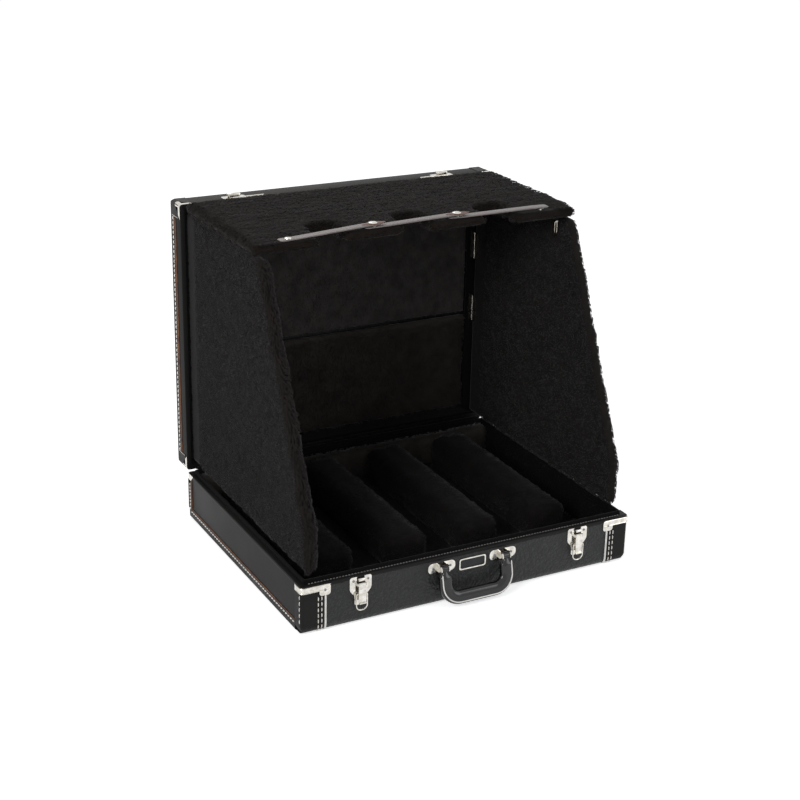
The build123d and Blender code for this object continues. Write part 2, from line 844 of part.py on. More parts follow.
def latch_loop(x):
    """A closed wire loop whose top bar turns in the lever's eye."""
    reach = loop_width / 2 - loop_wire_radius
    with BuildPart() as loop:
        foot = loop_z - loop_length
        turn = loop_bow * bow_share
        half = [
            (0, loop_z),
            (reach - loop_bend, loop_z),
            (reach, loop_z - loop_bend),
            (reach, foot + loop_bow),
            (reach - turn, foot + turn),
            (reach - loop_bow, foot),
            (0, foot),
        ]
        with BuildLine(Plane.XZ.offset(-latch_y)):
            Polyline(*[(x + u, z) for u, z in half])
        with BuildSketch(Plane.YZ.offset(x)):
            with Locations((latch_y, loop_z)):
                RegularPolygon(loop_wire_radius, bar_sides)
        sweep(transition=Transition.RIGHT)
        mirror(about=Plane.YZ.offset(x))
    return loop.part


def lid_keeper(x):
    """A plate on the lid with a hook that opens away from the rim."""
    near = lid_front + strike_setback
    web = near + strike_hook_setback
    left = x - strike_hook_width / 2
    right = x + strike_hook_width / 2
    top = lid_top + strike_hook_height
    with BuildPart() as strike:
        with BuildSketch(Plane.XY.offset(lid_top)):
            with Locations((x, near + strike_length / 2)):
                RectangleRounded(strike_width, strike_length, strike_round)
        extrude(amount=strike_plate)
        add(block(left, right, web, web + strike_plate, lid_top + strike_plate, top))
        add(block(left, right, web, web + strike_plate + strike_hook_length, top - strike_plate, top))
    return strike.part


pin_end = lever_width / 2 + lever_play + latch_cheek
latch_x = [side * latch_offset for side in sides.values()]
group([latch_plate_body(x) for x in latch_x], "latch_plates")
group([bar_x(x - pin_end, x + pin_end, latch_y, latch_z, latch_pin_radius) for x in latch_x], "latch_pins")
for hand, x in zip(sides, latch_x):
    keep(latch_lever(x), f"latch_lever_{hand}")
    keep(latch_loop(x), f"latch_loop_{hand}")
group([lid_keeper(x) for x in latch_x], "lid_keepers")

# Wing catches: a plate, and a lever that turns up under the panel's ear
catch_top = wing_top - catch_drop
catch_z = catch_top - catch_pivot_drop


def catch_plate_body(side):
    """A tapered plate on the wing's inner face with two ears for the lever."""
    face = side * wing_inner_x
    shoulder = catch_top - catch_shoulder
    foot = catch_top - catch_height
    with BuildPart() as plate:
        with BuildSketch(Plane.YZ.offset(face)) as outline:
            with BuildLine():
                Polyline(
                    (catch_y - catch_width / 2, catch_top),
                    (catch_y - catch_width / 2, shoulder),
                    (catch_y - catch_neck / 2, foot),
                    (catch_y + catch_neck / 2, foot),
                    (catch_y + catch_width / 2, shoulder),
                    (catch_y + catch_width / 2, catch_top),
                    close=True,
                )
            make_face()
            fillet(outline.vertices(), radius=catch_round)
        extrude(amount=-side * catch_plate)
        inner = catch_lever_width / 2 + catch_play
        x0, x1 = sorted((side * (wing_inner_x - catch_plate), side * (wing_inner_x - catch_pivot_offset)))
        for turn in sides.values():
            y0, y1 = sorted((catch_y + turn * inner, catch_y + turn * (inner + catch_cheek)))
            add(block(x0, x1, y0, y1, catch_z - catch_barrel_radius, catch_z + catch_barrel_radius))
            add(bar_y(y0, y1, side, catch_barrel_radius))
        bore = catch_trunnion_radius + pivot_clearance
        add(bar_y(catch_y - catch_width, catch_y + catch_width, side, bore, False), mode=Mode.SUBTRACT)
    return plate.part


def catch_lever(side):
    """A small blade on a barrel with a round stub at each end."""
    half = catch_lever_width / 2
    stub = half + catch_play + catch_cheek
    axis_x = side * (wing_inner_x - catch_pivot_offset)
    outer = axis_x - side * catch_barrel_radius
    x0, x1 = sorted((outer, outer + side * catch_lever_thickness))
    with BuildPart() as lever:
        add(bar_y(catch_y - half, catch_y + half, side, catch_barrel_radius))
        add(bar_y(catch_y - stub, catch_y + stub, side, catch_trunnion_radius))
        add(block(x0, x1, catch_y - half, catch_y + half, catch_z - catch_lever_length, catch_z))
    return lever.part


for hand, side in sides.items():
    keep(catch_plate_body(side), f"catch_plate_{hand}")
    keep(catch_lever(side), f"catch_lever_{hand}")

# Leather ends, piping and nickel corners on the front of the tray
leather_in = half_width - leather_width
strip_top = base_height - corner_strip_drop
strip_foot = strip_top - corner_strip_height
tab_foot = strip_top - corner_tab
tab_middle = leather_in - piping_width / 2
far = half_width + lid_depth


def ordered(side, low, high, *rest):
    """Corners of a block on the left or the right."""
    x0, x1 = sorted((side * low, side * high))
    return (x0, x1, *rest)


def front_leather(side):
    """The leather end of the front, wrapped round the corner and the lower edge."""
    where = ordered(side, leather_in, far, -far, front_face + leather_wrap, trim_foot, base_height)
    return skin(base_form, 0, leather_thickness, *where)


def piping(side):
    """The raised cord along the inner edge of a leather end."""
    near = leather_in - piping_width
    where = ordered(side, near, leather_in, -far, front_face + leather_wrap, trim_foot, tab_foot)
    return skin(base_form, 0, piping_rise, *where)


def front_corner(side):
    """A nickel strip round the corner, with a square tab over the top of the piping."""
    outside = leather_thickness + corner_plate
    over = ordered(side, leather_in, far, -far, front_face + corner_strip_wrap, strip_foot, strip_top)
    with BuildPart() as strip:
        add(skin(base_form, leather_thickness, outside, *over))
        with BuildSketch(front):
            with Locations((side * tab_middle, strip_top - corner_tab / 2)):
                RectangleRounded(corner_tab, corner_tab, corner_tab_round)
        extrude(amount=outside)
        tab_out = tab_middle + corner_tab / 2
        depth = (front_face - leather_thickness, front_face)
        add(block(*ordered(side, leather_in, tab_out, *depth, 0, base_height)), mode=Mode.SUBTRACT)
    return strip.part


group([front_leather(side) for side in sides.values()], "front_leathers")
group([piping(side) for side in sides.values()], "front_piping")
group([front_corner(side) for side in sides.values()], "front_corners")


def cap(form, side, y, y_sign, z, z_sign):
    """A bent nickel cap on a corner, cut to a triangle on each face."""
    corner = Vector(side * half_width, y, z)
    inward = Vector(-side, -y_sign, -z_sign)
    cut = Plane(origin=corner + Vector(-side * cap_arm, 0, 0), z_dir=inward)
    x0, x1 = sorted((corner.X - side * cap_arm, corner.X + side * cap_arm))
    y0, y1 = sorted((y - y_sign * cap_arm, y + y_sign * cap_arm))
    z0, z1 = sorted((z - z_sign * cap_arm, z + z_sign * cap_arm))
    with BuildPart() as piece:
        add(skin(form, 0, corner_plate, x0, x1, y0, y1, z0, z1))
        split(bisect_by=cut, keep=Keep.BOTTOM)
    return piece.part


group([cap(base_form, side, half_depth, 1, base_height, 1) for side in sides.values()], "rear_caps")
group(
    [
        cap(lid_form, side, lid_front, -1, z, z_sign)
        for side in sides.values()
        for z, z_sign in ((lid_bottom, -1), (lid_top, 1))
    ],
    "lid_caps",
)

# Blank badge plate in a raised frame
with BuildPart() as badge_plate:
    with BuildSketch(front):
        with Locations((0, badge_centre_height)):
            RectangleRounded(badge_length, badge_height, badge_round)
    extrude(amount=badge_thickness + badge_frame_rise)
    with BuildSketch(front.offset(badge_thickness)):
        with Locations((0, badge_centre_height)):
            field = (badge_length - 2 * badge_frame, badge_height - 2 * badge_frame)
            RectangleRounded(*field, badge_round - badge_frame / 2)
    extrude(amount=badge_frame_rise, mode=Mode.SUBTRACT)
keep(badge_plate.part, "badge_plate")


def screw(x, z, height):
    """A round-headed screw as seen on a plate of a given thickness."""
    with BuildPart() as head:
        with BuildSketch(front.offset(height)):
            with Locations((x, z)):
                RegularPolygon(screw_radius, bar_sides)
        extrude(amount=screw_height)
        chamfer(head.faces().sort_by(Axis.Y)[0].edges(), length=screw_height / 2)
    return head.part


mount_screw = (mount_length - mount_height) / 2
mount_screws = [(x + side * mount_screw, handle_z) for x in arm_places for side in sides.values()]
ear_screw = (latch_width + latch_gap) / 4
latch_screws = [(x + side * ear_screw, latch_top - ear_screw / 2) for x in latch_x for side in sides.values()]
tab_screws = [(side * tab_middle, strip_top - corner_tab / 2) for side in sides.values()]
heads = [screw(x, z, mount_plate) for x, z in mount_screws]
heads += [screw(x, z, latch_plate) for x, z in latch_screws]
heads += [screw(x, z, leather_thickness + corner_plate) for x, z in tab_screws]
group(heads, "front_screws")
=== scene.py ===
"""Looks of the guitar stand case: plush, vinyl, leather and nickel, and the studio round them.

Lengths in this file are millimetres in the row frame (+X right, +Y back, +Z up). They
become metres where a mesh or a node is written.
"""

import logging
import math
from collections.abc import Callable, Iterable
from dataclasses import dataclass
from enum import Enum
from functools import lru_cache

import bmesh
import bpy
import numpy as np
from mathutils import Matrix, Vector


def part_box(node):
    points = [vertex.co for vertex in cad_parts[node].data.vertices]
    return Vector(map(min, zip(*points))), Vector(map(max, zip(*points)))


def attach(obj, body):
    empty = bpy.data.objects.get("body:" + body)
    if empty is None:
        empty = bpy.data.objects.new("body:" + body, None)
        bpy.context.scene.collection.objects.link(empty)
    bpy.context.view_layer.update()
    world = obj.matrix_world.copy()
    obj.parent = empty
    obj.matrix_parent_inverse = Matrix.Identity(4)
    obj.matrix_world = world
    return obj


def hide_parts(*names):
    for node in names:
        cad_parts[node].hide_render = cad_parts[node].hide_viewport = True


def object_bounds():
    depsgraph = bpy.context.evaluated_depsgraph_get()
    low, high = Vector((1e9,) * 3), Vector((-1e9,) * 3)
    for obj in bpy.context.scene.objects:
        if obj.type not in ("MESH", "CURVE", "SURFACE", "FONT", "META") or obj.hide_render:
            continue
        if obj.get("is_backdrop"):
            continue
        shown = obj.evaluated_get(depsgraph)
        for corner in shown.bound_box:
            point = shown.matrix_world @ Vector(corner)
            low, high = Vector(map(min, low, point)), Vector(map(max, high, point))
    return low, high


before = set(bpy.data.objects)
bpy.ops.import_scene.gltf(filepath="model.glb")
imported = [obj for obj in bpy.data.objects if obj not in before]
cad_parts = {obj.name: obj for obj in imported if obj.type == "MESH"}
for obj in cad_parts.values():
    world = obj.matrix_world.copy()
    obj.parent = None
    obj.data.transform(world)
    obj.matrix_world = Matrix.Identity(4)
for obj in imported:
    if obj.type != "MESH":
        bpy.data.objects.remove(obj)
CAD_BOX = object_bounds()

Array = np.ndarray
Mask = Callable[[Array, Array], Array]
MM = 0.001
X = np.array([1.0, 0.0, 0.0])
Y = np.array([0.0, 1.0, 0.0])
Z = np.array([0.0, 0.0, 1.0])
SIDES = {"left": -1.0, "right": 1.0}
LIFT = "lift"
CLOTH_FRAMES = 20
CLOTH_PRESSURE = 4.0
log = logging.getLogger("stand_case")


# Nodes and finishes


def linear(code: str) -> tuple[float, float, float, float]:
    """Turn an sRGB hex colour into linear numbers.

    Args:
        code: six hex digits, with or without a leading #.

    Returns:
        Red, green, blue and an alpha of 1.
    """
    digits = code.lstrip("#")
    parts = [int(digits[i : i + 2], 16) / 255 for i in (0, 2, 4)]
    r, g, b = (c / 12.92 if c <= 0.04045 else ((c + 0.055) / 1.055) ** 2.4 for c in parts)
    return (r, g, b, 1.0)


def wire(tree: bpy.types.NodeTree, kind: str, sockets: dict, **settings) -> bpy.types.Node:
    """Add a node, set it up and join it to the nodes before it.

    Args:
        tree: the node tree that gets the node.
        kind: the node's type name.
        sockets: input name or number, and the value or output socket that goes in.
        **settings: properties of the node itself.

    Returns:
        The new node.
    """
    node = tree.nodes.new(kind)
    for key, value in settings.items():
        setattr(node, key, value)
    for key, value in sockets.items():
        if isinstance(value, bpy.types.NodeSocket):
            tree.links.new(value, node.inputs[key])
        else:
            node.inputs[key].default_value = value
    return node


class Grain(Enum):
    """What the surface of a finish is like up close."""

    PEBBLE = "embossed pebbles"
    CREASE = "fine creases"
    PILE = "cut pile"
    PLATE = "plating over pressed steel"
    MOULD = "moulded skin"
    TWIST = "twisted yarn"


@dataclass(frozen=True)
class Finish:
    """One real finish: its colours, how they vary, its relief and its shine.

    Patch and grain_size are the width of a colour patch and of a grain, and relief is the
    height of the grain, all in millimetres.
    """

    name: str
    colour: str
    tone: str
    grain: Grain
    patch: float
    grain_size: float
    relief: float
    rough: tuple[float, float]
    metallic: float = 0.0
    specular: float = 0.5
    sheen: float = 0.0
    sheen_rough: float = 0.4
    coat: float = 0.0
    coat_rough: float = 0.12

    def height(self, tree: bpy.types.NodeTree, place: bpy.types.NodeSocket) -> bpy.types.NodeSocket:
        """Build the relief pattern.

        Pebbles are one minus the distance to the nearest cell, plus a finer noise. Creases
        are the distance to the cells' edges, plus a coarser noise. Twist is a slanted wave,
        and the rest is noise.

        Args:
            tree: the material's node tree.
            place: the object coordinates.

        Returns:
            A socket that gives the height, from about 0 to 1.
        """
        scale = 1 / (self.grain_size * MM)
        spots = {"Vector": place, "Scale": scale}
        if self.grain is Grain.PEBBLE:
            cells = wire(tree, "ShaderNodeTexVoronoi", spots, feature="SMOOTH_F1")
            fine = wire(tree, "ShaderNodeTexNoise", {"Vector": place, "Scale": scale * 1.7, "Detail": 2.0})
            sunk = wire(tree, "ShaderNodeMath", {0: 1.0, 1: cells.outputs["Distance"]}, operation="SUBTRACT")
            both = {0: sunk.outputs[0], 1: fine.outputs[0]}
            return wire(tree, "ShaderNodeMath", both, operation="ADD").outputs[0]
        if self.grain is Grain.CREASE:
            cells = wire(tree, "ShaderNodeTexVoronoi", spots, feature="DISTANCE_TO_EDGE")
            soft = wire(tree, "ShaderNodeMapRange", {"Value": cells.outputs["Distance"], "From Max": 0.2})
            fine = wire(tree, "ShaderNodeTexNoise", {"Vector": place, "Scale": scale * 0.4, "Detail": 3.0})
            both = {0: soft.outputs[0], 1: fine.outputs[0]}
            return wire(tree, "ShaderNodeMath", both, operation="ADD").outputs[0]
        if self.grain is Grain.TWIST:
            turn = wire(tree, "ShaderNodeMapping", {"Vector": place, "Rotation": (0.6, 0.5, 0.7)})
            bands = {"Vector": turn.outputs[0], "Scale": scale / 3, "Distortion": 1.5, "Detail": 2.0}
            return wire(tree, "ShaderNodeTexWave", bands).outputs["Fac"]
        return wire(tree, "ShaderNodeTexNoise", spots | {"Detail": 3.0}).outputs[0]

    @lru_cache
    def material(self) -> bpy.types.Material:
        """Build the material once, and give the same one again afterwards.

        The colour runs from colour to tone with the patches, on pebbles with their height,
        and on pile with the tone that each tuft carries and a third of the patches.

        Returns:
            The material.
        """
        material = bpy.data.materials.new(self.name)
        material.use_nodes = True
        tree = material.node_tree
        tree.nodes.clear()
        place = wire(tree, "ShaderNodeTexCoord", {}).outputs["Object"]
        spots = {"Vector": place, "Scale": 1 / (self.patch * MM), "Detail": 4.0}
        patches = wire(tree, "ShaderNodeTexNoise", spots)
        spread = {"Value": patches.outputs[0], "From Min": 0.35, "From Max": 0.65}
        share = wire(tree, "ShaderNodeMapRange", spread).outputs[0]
        raised = self.height(tree, place)
        if self.grain is Grain.PEBBLE:
            crown = {"Value": raised, "From Min": 0.9, "From Max": 1.45}
            share = wire(tree, "ShaderNodeMapRange", crown).outputs[0]
        if self.grain is Grain.PILE:
            lift = wire(tree, "ShaderNodeAttribute", {}, attribute_name=LIFT).outputs["Fac"]
            noisy = wire(tree, "ShaderNodeMath", {0: share, 1: 0.35}, operation="MULTIPLY").outputs[0]
            lifted = wire(tree, "ShaderNodeMath", {0: noisy, 1: lift}, operation="ADD", use_clamp=True)
            share = lifted.outputs[0]
        colours = {0: share, 6: linear(self.colour), 7: linear(self.tone)}
        blend = wire(tree, "ShaderNodeMix", colours, data_type="RGBA")
        gloss = {"Value": patches.outputs[0], "From Min": 0.3, "From Max": 0.7}
        gloss |= {"To Min": self.rough[0], "To Max": self.rough[1]}
        rough = wire(tree, "ShaderNodeMapRange", gloss)
        relief = {"Height": raised, "Distance": self.relief * MM, "Strength": 1.0}
        bump = wire(tree, "ShaderNodeBump", relief)
        shader = {
            "Base Color": blend.outputs[2],
            "Roughness": rough.outputs[0],
            "Normal": bump.outputs[0],
            "Metallic": self.metallic,
            "Specular IOR Level": self.specular,
            "Sheen Weight": self.sheen,
            "Sheen Roughness": self.sheen_rough,
            "Coat Weight": self.coat,
            "Coat Roughness": self.coat_rough,
        }
        skin = wire(tree, "ShaderNodeBsdfPrincipled", shader)
        wire(tree, "ShaderNodeOutputMaterial", {"Surface": skin.outputs[0]})
        return material


# Long-pile acrylic plush, brushed: painted shade at the roots, and a painted soft grey sheen on the tips
PLUSH = Finish(
    "acrylic long-pile plush", "#0c0b0b", "#221e1d", Grain.PILE, 34, 1.6, 0.3, (0.85, 0.98),
    sheen=0.14, specular=0.1,
)
# The panel's plush: the same yarn, a touch browner with painted warm light, where the warm lamp rakes its
# tips
WARM_LIT_PLUSH = Finish(
    "panel plush with painted warm light", "#0b0908", "#1d1815", Grain.PILE, 40, 1.6, 0.3, (0.85, 0.98),
    sheen=0.1, specular=0.1,
)
# Short velour on the lining boards of the tray and the lid: the same yarn, cut close, so more even, and
# painted darker as a shaded copy
SHADED_VELOUR = Finish(
    "lining velour with painted shade", "#080808", "#121111", Grain.PILE, 22, 1.2, 0.2, (0.85, 0.98),
    sheen=0.06, specular=0.06,
)
# Brushed velour on the lid's back: a lit copy of the lining cloth, painted paler and greyer for the light
# that falls on it
LIT_VELOUR = Finish(
    "lid velour with painted light", "#262423", "#524e4c", Grain.PILE, 30, 1.4, 0.2, (0.85, 0.98),
    sheen=0.2, specular=0.1,
)
# Plush of the back pad and the rear bolster, brushed up: the same yarn, painted paler as a lit copy
LIT_PAD_PLUSH = Finish(
    "pad plush with painted light", "#1d1b1a", "#403b37", Grain.PILE, 34, 1.6, 0.3, (0.85, 0.98),
    sheen=0.16, specular=0.1,
)
# Plush of the ridges: the same yarn, painted darker as a shaded copy, for the shade in the tray
SHADED_RIDGE_PLUSH = Finish(
    "ridge plush with painted shade", "#0d0c0c", "#1e1b1a", Grain.PILE, 34, 1.6, 0.3, (0.85, 0.98),
    sheen=0.1, specular=0.08,
)
# Embossed PVC on the front: real pebbles are 2 mm, drawn 5 mm across so that they show
TOLEX = Finish(
    "embossed vinyl cloth", "#070808", "#17181a", Grain.PEBBLE, 9, 5.0, 1.5, (0.36, 0.55), specular=0.36
)
# Calendered PVC on the sides: nearly smooth, with a satin gleam
VINYL = Finish(
    "calendered vinyl cloth", "#0f0e0e", "#141312", Grain.CREASE, 140, 3.0, 0.04, (0.46, 0.54), specular=0.13
)
# Drum-dyed cowhide binding: fine creases and a low polish
LEATHER = Finish(
    "drum-dyed cowhide", "#0c0c0b", "#131311", Grain.CREASE, 30, 2.2, 0.1, (0.45, 0.6), specular=0.15
)
# Vegetable-tanned hide tab: red brown, waxed
TAN = Finish("vegetable-tanned hide", "#4a2a20", "#5d382a", Grain.CREASE, 18, 1.8, 0.12, (0.4, 0.55))
# Coated split-leather strap: grey brown with a semi-gloss top coat
STRAP = Finish(
    "coated split leather", "#524a48", "#625a58", Grain.CREASE, 26, 2.0, 0.1, (0.34, 0.46),
    coat=0.2, coat_rough=0.3,
)
# Nickel plate over pressed steel: bright, faintly warm, with slight pressing waves
NICKEL = Finish(
    "nickel-plated steel", "#dedbd4", "#c2beb6", Grain.PLATE, 7, 3.0, 0.05, (0.1, 0.22), metallic=1.0
)
# Zinc-plated steel of pins and hinge leaves: greyer and more matt
ZINC = Finish(
    "zinc-plated steel", "#8f8f90", "#77787a", Grain.PLATE, 6, 1.5, 0.03, (0.3, 0.42), metallic=1.0
)
# Plasticised PVC grip, injection moulded: a very fine skin under a tight gleam
GRIP = Finish(
    "moulded PVC", "#080909", "#0e0f10", Grain.MOULD, 30, 0.9, 0.02, (0.1, 0.15), specular=0.45, coat=0.1
)
# Extruded PVC cord: off-white and glossy
CORD = Finish("extruded PVC cord", "#eceae6", "#dad7d1", Grain.MOULD, 12, 1.0, 0.03, (0.25, 0.38))
# Waxed cotton piping: orange brown, deepening to red where it lies in shade
RUST_CORD = Finish("waxed cotton cord", "#452311", "#80502e", Grain.TWIST, 14, 1.4, 0.15, (0.45, 0.6))
# Bonded polyester thread: white, twisted
THREAD = Finish("bonded polyester thread", "#f2eee8", "#d8cfc6", Grain.TWIST, 5, 0.9, 0.1, (0.5, 0.65))
# The same thread, greyed by the plush that it holds down
GREY_THREAD = Finish("greyed polyester thread", "#8a8784", "#6a6765", Grain.TWIST, 5, 0.9, 0.1, (0.55, 0.7))
# Anodised dark field of the blank badge
FIELD = Finish(
    "black anodised aluminium", "#101113", "#191a1c", Grain.PLATE, 10, 1.2, 0.02, (0.3, 0.4), metallic=0.4
)


class Slot(Enum):
    """The record's material slots."""

    BOARD = "covered_board"
    PLUSH = "plush"
    LINING = "plush_lining"
    NICKEL = "nickel"
    STEEL = "steel"
    LEATHER = "leather"
    STRAP = "strap_leather"
    GRIP = "moulded_grip"
    PIPING = "piping"
    BADGE = "badge"


# Shapes


def unit(vectors: Array) -> Array:
    """Scale vectors to a length of 1."""
    return vectors / np.maximum(np.linalg.norm(vectors, axis=-1, keepdims=True), 1e-12)


@dataclass
class Shape:
    """A mesh: its points, and its faces in arrays of one corner count each.

    A pile's tone (lift) and its shading normal may stand at each point.
    """

    points: Array
    faces: list[Array]
    lift: Array | None = None
    normals: Array | None = None

    def triangles(self) -> Array:
        """Cut every face into a fan of triangles."""
        fans = [face[:, [0, i, i + 1]] for face in self.faces for i in range(1, face.shape[1] - 1)]
        return np.concatenate(fans)

    def outward(self) -> "Shape":
        """Turn the faces round if they enclose a negative volume.

        Returns:
            The shape itself.
        """
        a, b, c = (self.points[corner] for corner in self.triangles().T)
        if np.einsum("ij,ij->", a, np.cross(b, c)) < 0:
            self.faces = [face[:, ::-1] for face in self.faces]
        return self

    def mirrored(self) -> "Shape":
        """Give the same shape on the other side of the middle."""
        return Shape(self.points * [-1, 1, 1], [face[:, ::-1] for face in self.faces], self.lift)


def together(shapes: Iterable[Shape]) -> Shape:
    """Join shapes into one mesh of several closed shells.

    Args:
        shapes: the shapes to join.

    Returns:
        One shape with all their points and faces.
    """
    listed = list(shapes)
    starts = np.cumsum([0] + [len(shape.points) for shape in listed])
    faces = [face + start for shape, start in zip(listed, starts) for face in shape.faces]
    lifts = [np.zeros(len(shape.points)) if shape.lift is None else shape.lift for shape in listed]
    whole = Shape(np.concatenate([shape.points for shape in listed]), faces, np.concatenate(lifts))
    if all(shape.normals is not None for shape in listed):
        whole.normals = np.concatenate([shape.normals for shape in listed])
    return whole


def both_sides(shape: Shape) -> Shape:
    """Join a shape and its mirror image."""
    return together([shape, shape.mirrored()])


def loft(rings: Array, joined: bool = False) -> Shape:
    """Skin closed outlines that follow each other, and close both ends with one face.

    Args:
        rings: outlines of equal count, as an array of (outline, point, 3).
        joined: whether the last outline meets the first instead of ending.

    Returns:
        The closed shape.
    """
    index = np.arange(rings.shape[0] * rings.shape[1]).reshape(rings.shape[:2])
    near = index if joined else index[:-1]
    far = np.roll(index, -1, axis=0) if joined else index[1:]
    quads = np.stack([near, np.roll(near, -1, axis=1), np.roll(far, -1, axis=1), far], axis=-1)
    ends = [] if joined else [index[:1, ::-1], index[-1:]]
    return Shape(rings.reshape(-1, 3), [quads.reshape(-1, 4), *ends]).outward()


def slab(outer: Array, inner: Array) -> Shape:
    """Close two grids that lie over each other into a thin sheet.

    Args:
        outer: the outer surface, as an array of (row, column, 3).
        inner: the inner surface, point for point below it.

    Returns:
        The closed sheet.
    """
    rows, columns = outer.shape[:2]
    top = np.arange(rows * columns).reshape(rows, columns)
    low = top + rows * columns
    skin, rim = [], []
    for g in (top, low):
        quads = np.stack([g[:-1, :-1], g[:-1, 1:], g[1:, 1:], g[1:, :-1]], axis=-1)
        skin.append(quads.reshape(-1, 4))
        rim.append(np.concatenate([g[0, :-1], g[:-1, -1], g[-1, :0:-1], g[:0:-1, 0]]))
    edge = np.stack([rim[0], rim[1], np.roll(rim[1], -1), np.roll(rim[0], -1)], axis=-1)
    points = np.concatenate([outer.reshape(-1, 3), inner.reshape(-1, 3)])
    return Shape(points, [skin[0], skin[1][:, ::-1], edge]).outward()


def oval(half_a: float, half_b: float, sides: int = 12, power: float = 2.0) -> Array:
    """Draw a closed outline on which |a/half_a|^power + |b/half_b|^power is 1.

    Args:
        half_a: half of its width.
        half_b: half of its height.
        sides: how many points it has.
        power: 2 for an ellipse, and more for a squarer form.

    Returns:
        The (a, b) pairs.
    """
    turn = np.linspace(0, 2 * np.pi, sides, endpoint=False)
    bend = [np.sign(wave) * np.abs(wave) ** (2 / power) for wave in (np.cos(turn), np.sin(turn))]
    return np.stack([half_a * bend[0], half_b * bend[1]], axis=-1)


def rounded(half_a: float, half_b: float, radius: float, steps: int = 5) -> Array:
    """Draw a rectangle whose four corners are quarter circles.

    Args:
        half_a: half of its width.
        half_b: half of its height.
        radius: of the corners.
        steps: how many chords a corner has.

    Returns:
        The (a, b) pairs.
    """
    quarter = np.linspace(0, np.pi / 2, steps + 1)
    corners = [(1, 1, 0), (-1, 1, 1), (-1, -1, 2), (1, -1, 3)]
    arcs = []
    for sign_a, sign_b, turns in corners:
        turn = quarter + turns * np.pi / 2
        centre = [sign_a * (half_a - radius), sign_b * (half_b - radius)]
        arcs.append(centre + radius * np.stack([np.cos(turn), np.sin(turn)], axis=-1))
    return np.concatenate(arcs)


def carried(
    path: Array, outline: Array, over: Array, scale: Array | None = None, joined: bool = False
) -> Shape:
    """Carry a closed outline along a path.

    Each ring is the path's point, plus a times side, plus b times rise. Side is the unit
    vector of tangent x over, and rise that of side x tangent.

    Args:
        path: the points to follow.
        outline: the outline's (a, b) pairs.
        over: a direction that the path never runs along.
        scale: factors on a and b at each point of the path.
        joined: whether the path closes on itself.

    Returns:
        The closed shape.
    """
    tangent = np.roll(path, -1, axis=0) - np.roll(path, 1, axis=0) if joined else np.gradient(path, axis=0)
    side = unit(np.cross(tangent, over))
    rise = unit(np.cross(side, tangent))
    pairs = outline[None] * (1.0 if scale is None else scale[:, None, :])
    rings = path[:, None] + pairs[..., :1] * side[:, None] + pairs[..., 1:] * rise[:, None]
    return loft(rings, joined)


def bent(corners: Array, radius: float, steps: int = 6) -> Array:
    """Join points by straight runs whose corners are arcs that touch both runs.

    An arc's centre lies on the corner's bisector, radius / cos(turn / 2) from the corner.

    Args:
        corners: the points, ends included.
        radius: the arcs' radius.
        steps: how many chords an arc has.

    Returns:
        The points of the line.
    """
    line = [corners[:1]]
    for before, corner, after in zip(corners, corners[1:], corners[2:]):
        into, out = unit(corner - before), unit(after - corner)
        turn = math.acos(max(-1.0, min(1.0, float(into @ out))))
        centre = corner + unit(out - into) * radius / math.cos(turn / 2)
        spoke = (corner - into * radius * math.tan(turn / 2) - centre) / radius
        sweep = np.linspace(0, turn, steps + 1)[:, None]
        line.append(centre + radius * (np.cos(sweep) * spoke + np.sin(sweep) * into))
    return np.concatenate([*line, corners[-1:]])


def running(path: Array) -> Array:
    """Add up the length of a line to each of its points."""
    return np.concatenate([[0.0], np.cumsum(np.linalg.norm(np.diff(path, axis=0), axis=1))])


def stations(path: Array, places: Array) -> Array:
    """Find the points of a line at given running lengths."""
    return np.stack([np.interp(places, running(path), path[:, axis]) for axis in range(3)], axis=-1)


def even(path: Array, step: float) -> Array:
    """Divide a line evenly by its running length.

    Args:
        path: the line's points.
        step: about how far apart the new points are.

    Returns:
        The new points, both ends among them.
    """
    length = running(path)[-1]
    return stations(path, np.linspace(0, length, max(2, round(length / step) + 1)))


def picked(items: Array, count: int, axis: int = 0) -> Array:
    """Take a count of evenly spread entries, the first and the last among them."""
    return np.take(items, np.linspace(0, items.shape[axis] - 1, count).round().astype(int), axis=axis)


def turned(profile: list[tuple[float, float]], centre: Array, axis: Array, sides: int = 20) -> Shape:
    """Turn a profile about an axis: each of its points becomes a ring of its radius.

    Args:
        profile: (radius, height) pairs.
        centre: the point of the axis at height 0.
        axis: the unit vector of the axis.
        sides: how many points a ring has.

    Returns:
        The closed shape.
    """
    start = unit(np.cross(axis, [0.3, 0.5, 0.8]))
    across = np.cross(axis, start)
    turn = np.linspace(0, 2 * np.pi, sides, endpoint=False)[:, None]
    spokes = np.cos(turn) * start + np.sin(turn) * across
    pairs = np.array(profile)
    return loft(centre + pairs[:, :1, None] * spokes + pairs[:, 1:, None] * axis)


def cord(path: Array, radius: float, over: Array, sides: int = 8, joined: bool = False) -> Shape:
    """Carry a circle along a path and draw its ends in.

    Args:
        path: the middle line.
        radius: of the cord.
        over: a direction that the path never runs along.
        sides: how many sides the circle has.
        joined: whether the path closes on itself.

    Returns:
        The closed shape.
    """
    scale = np.ones((len(path), 2))
    if not joined:
        scale[[0, -1]] = 0.45
    return carried(path, oval(radius, radius, sides), over, scale, joined)


@dataclass(frozen=True)
class Sewing:
    """A row's stitch: from one to the next, its own length and its yarn's radius."""

    pitch: float
    length: float
    radius: float


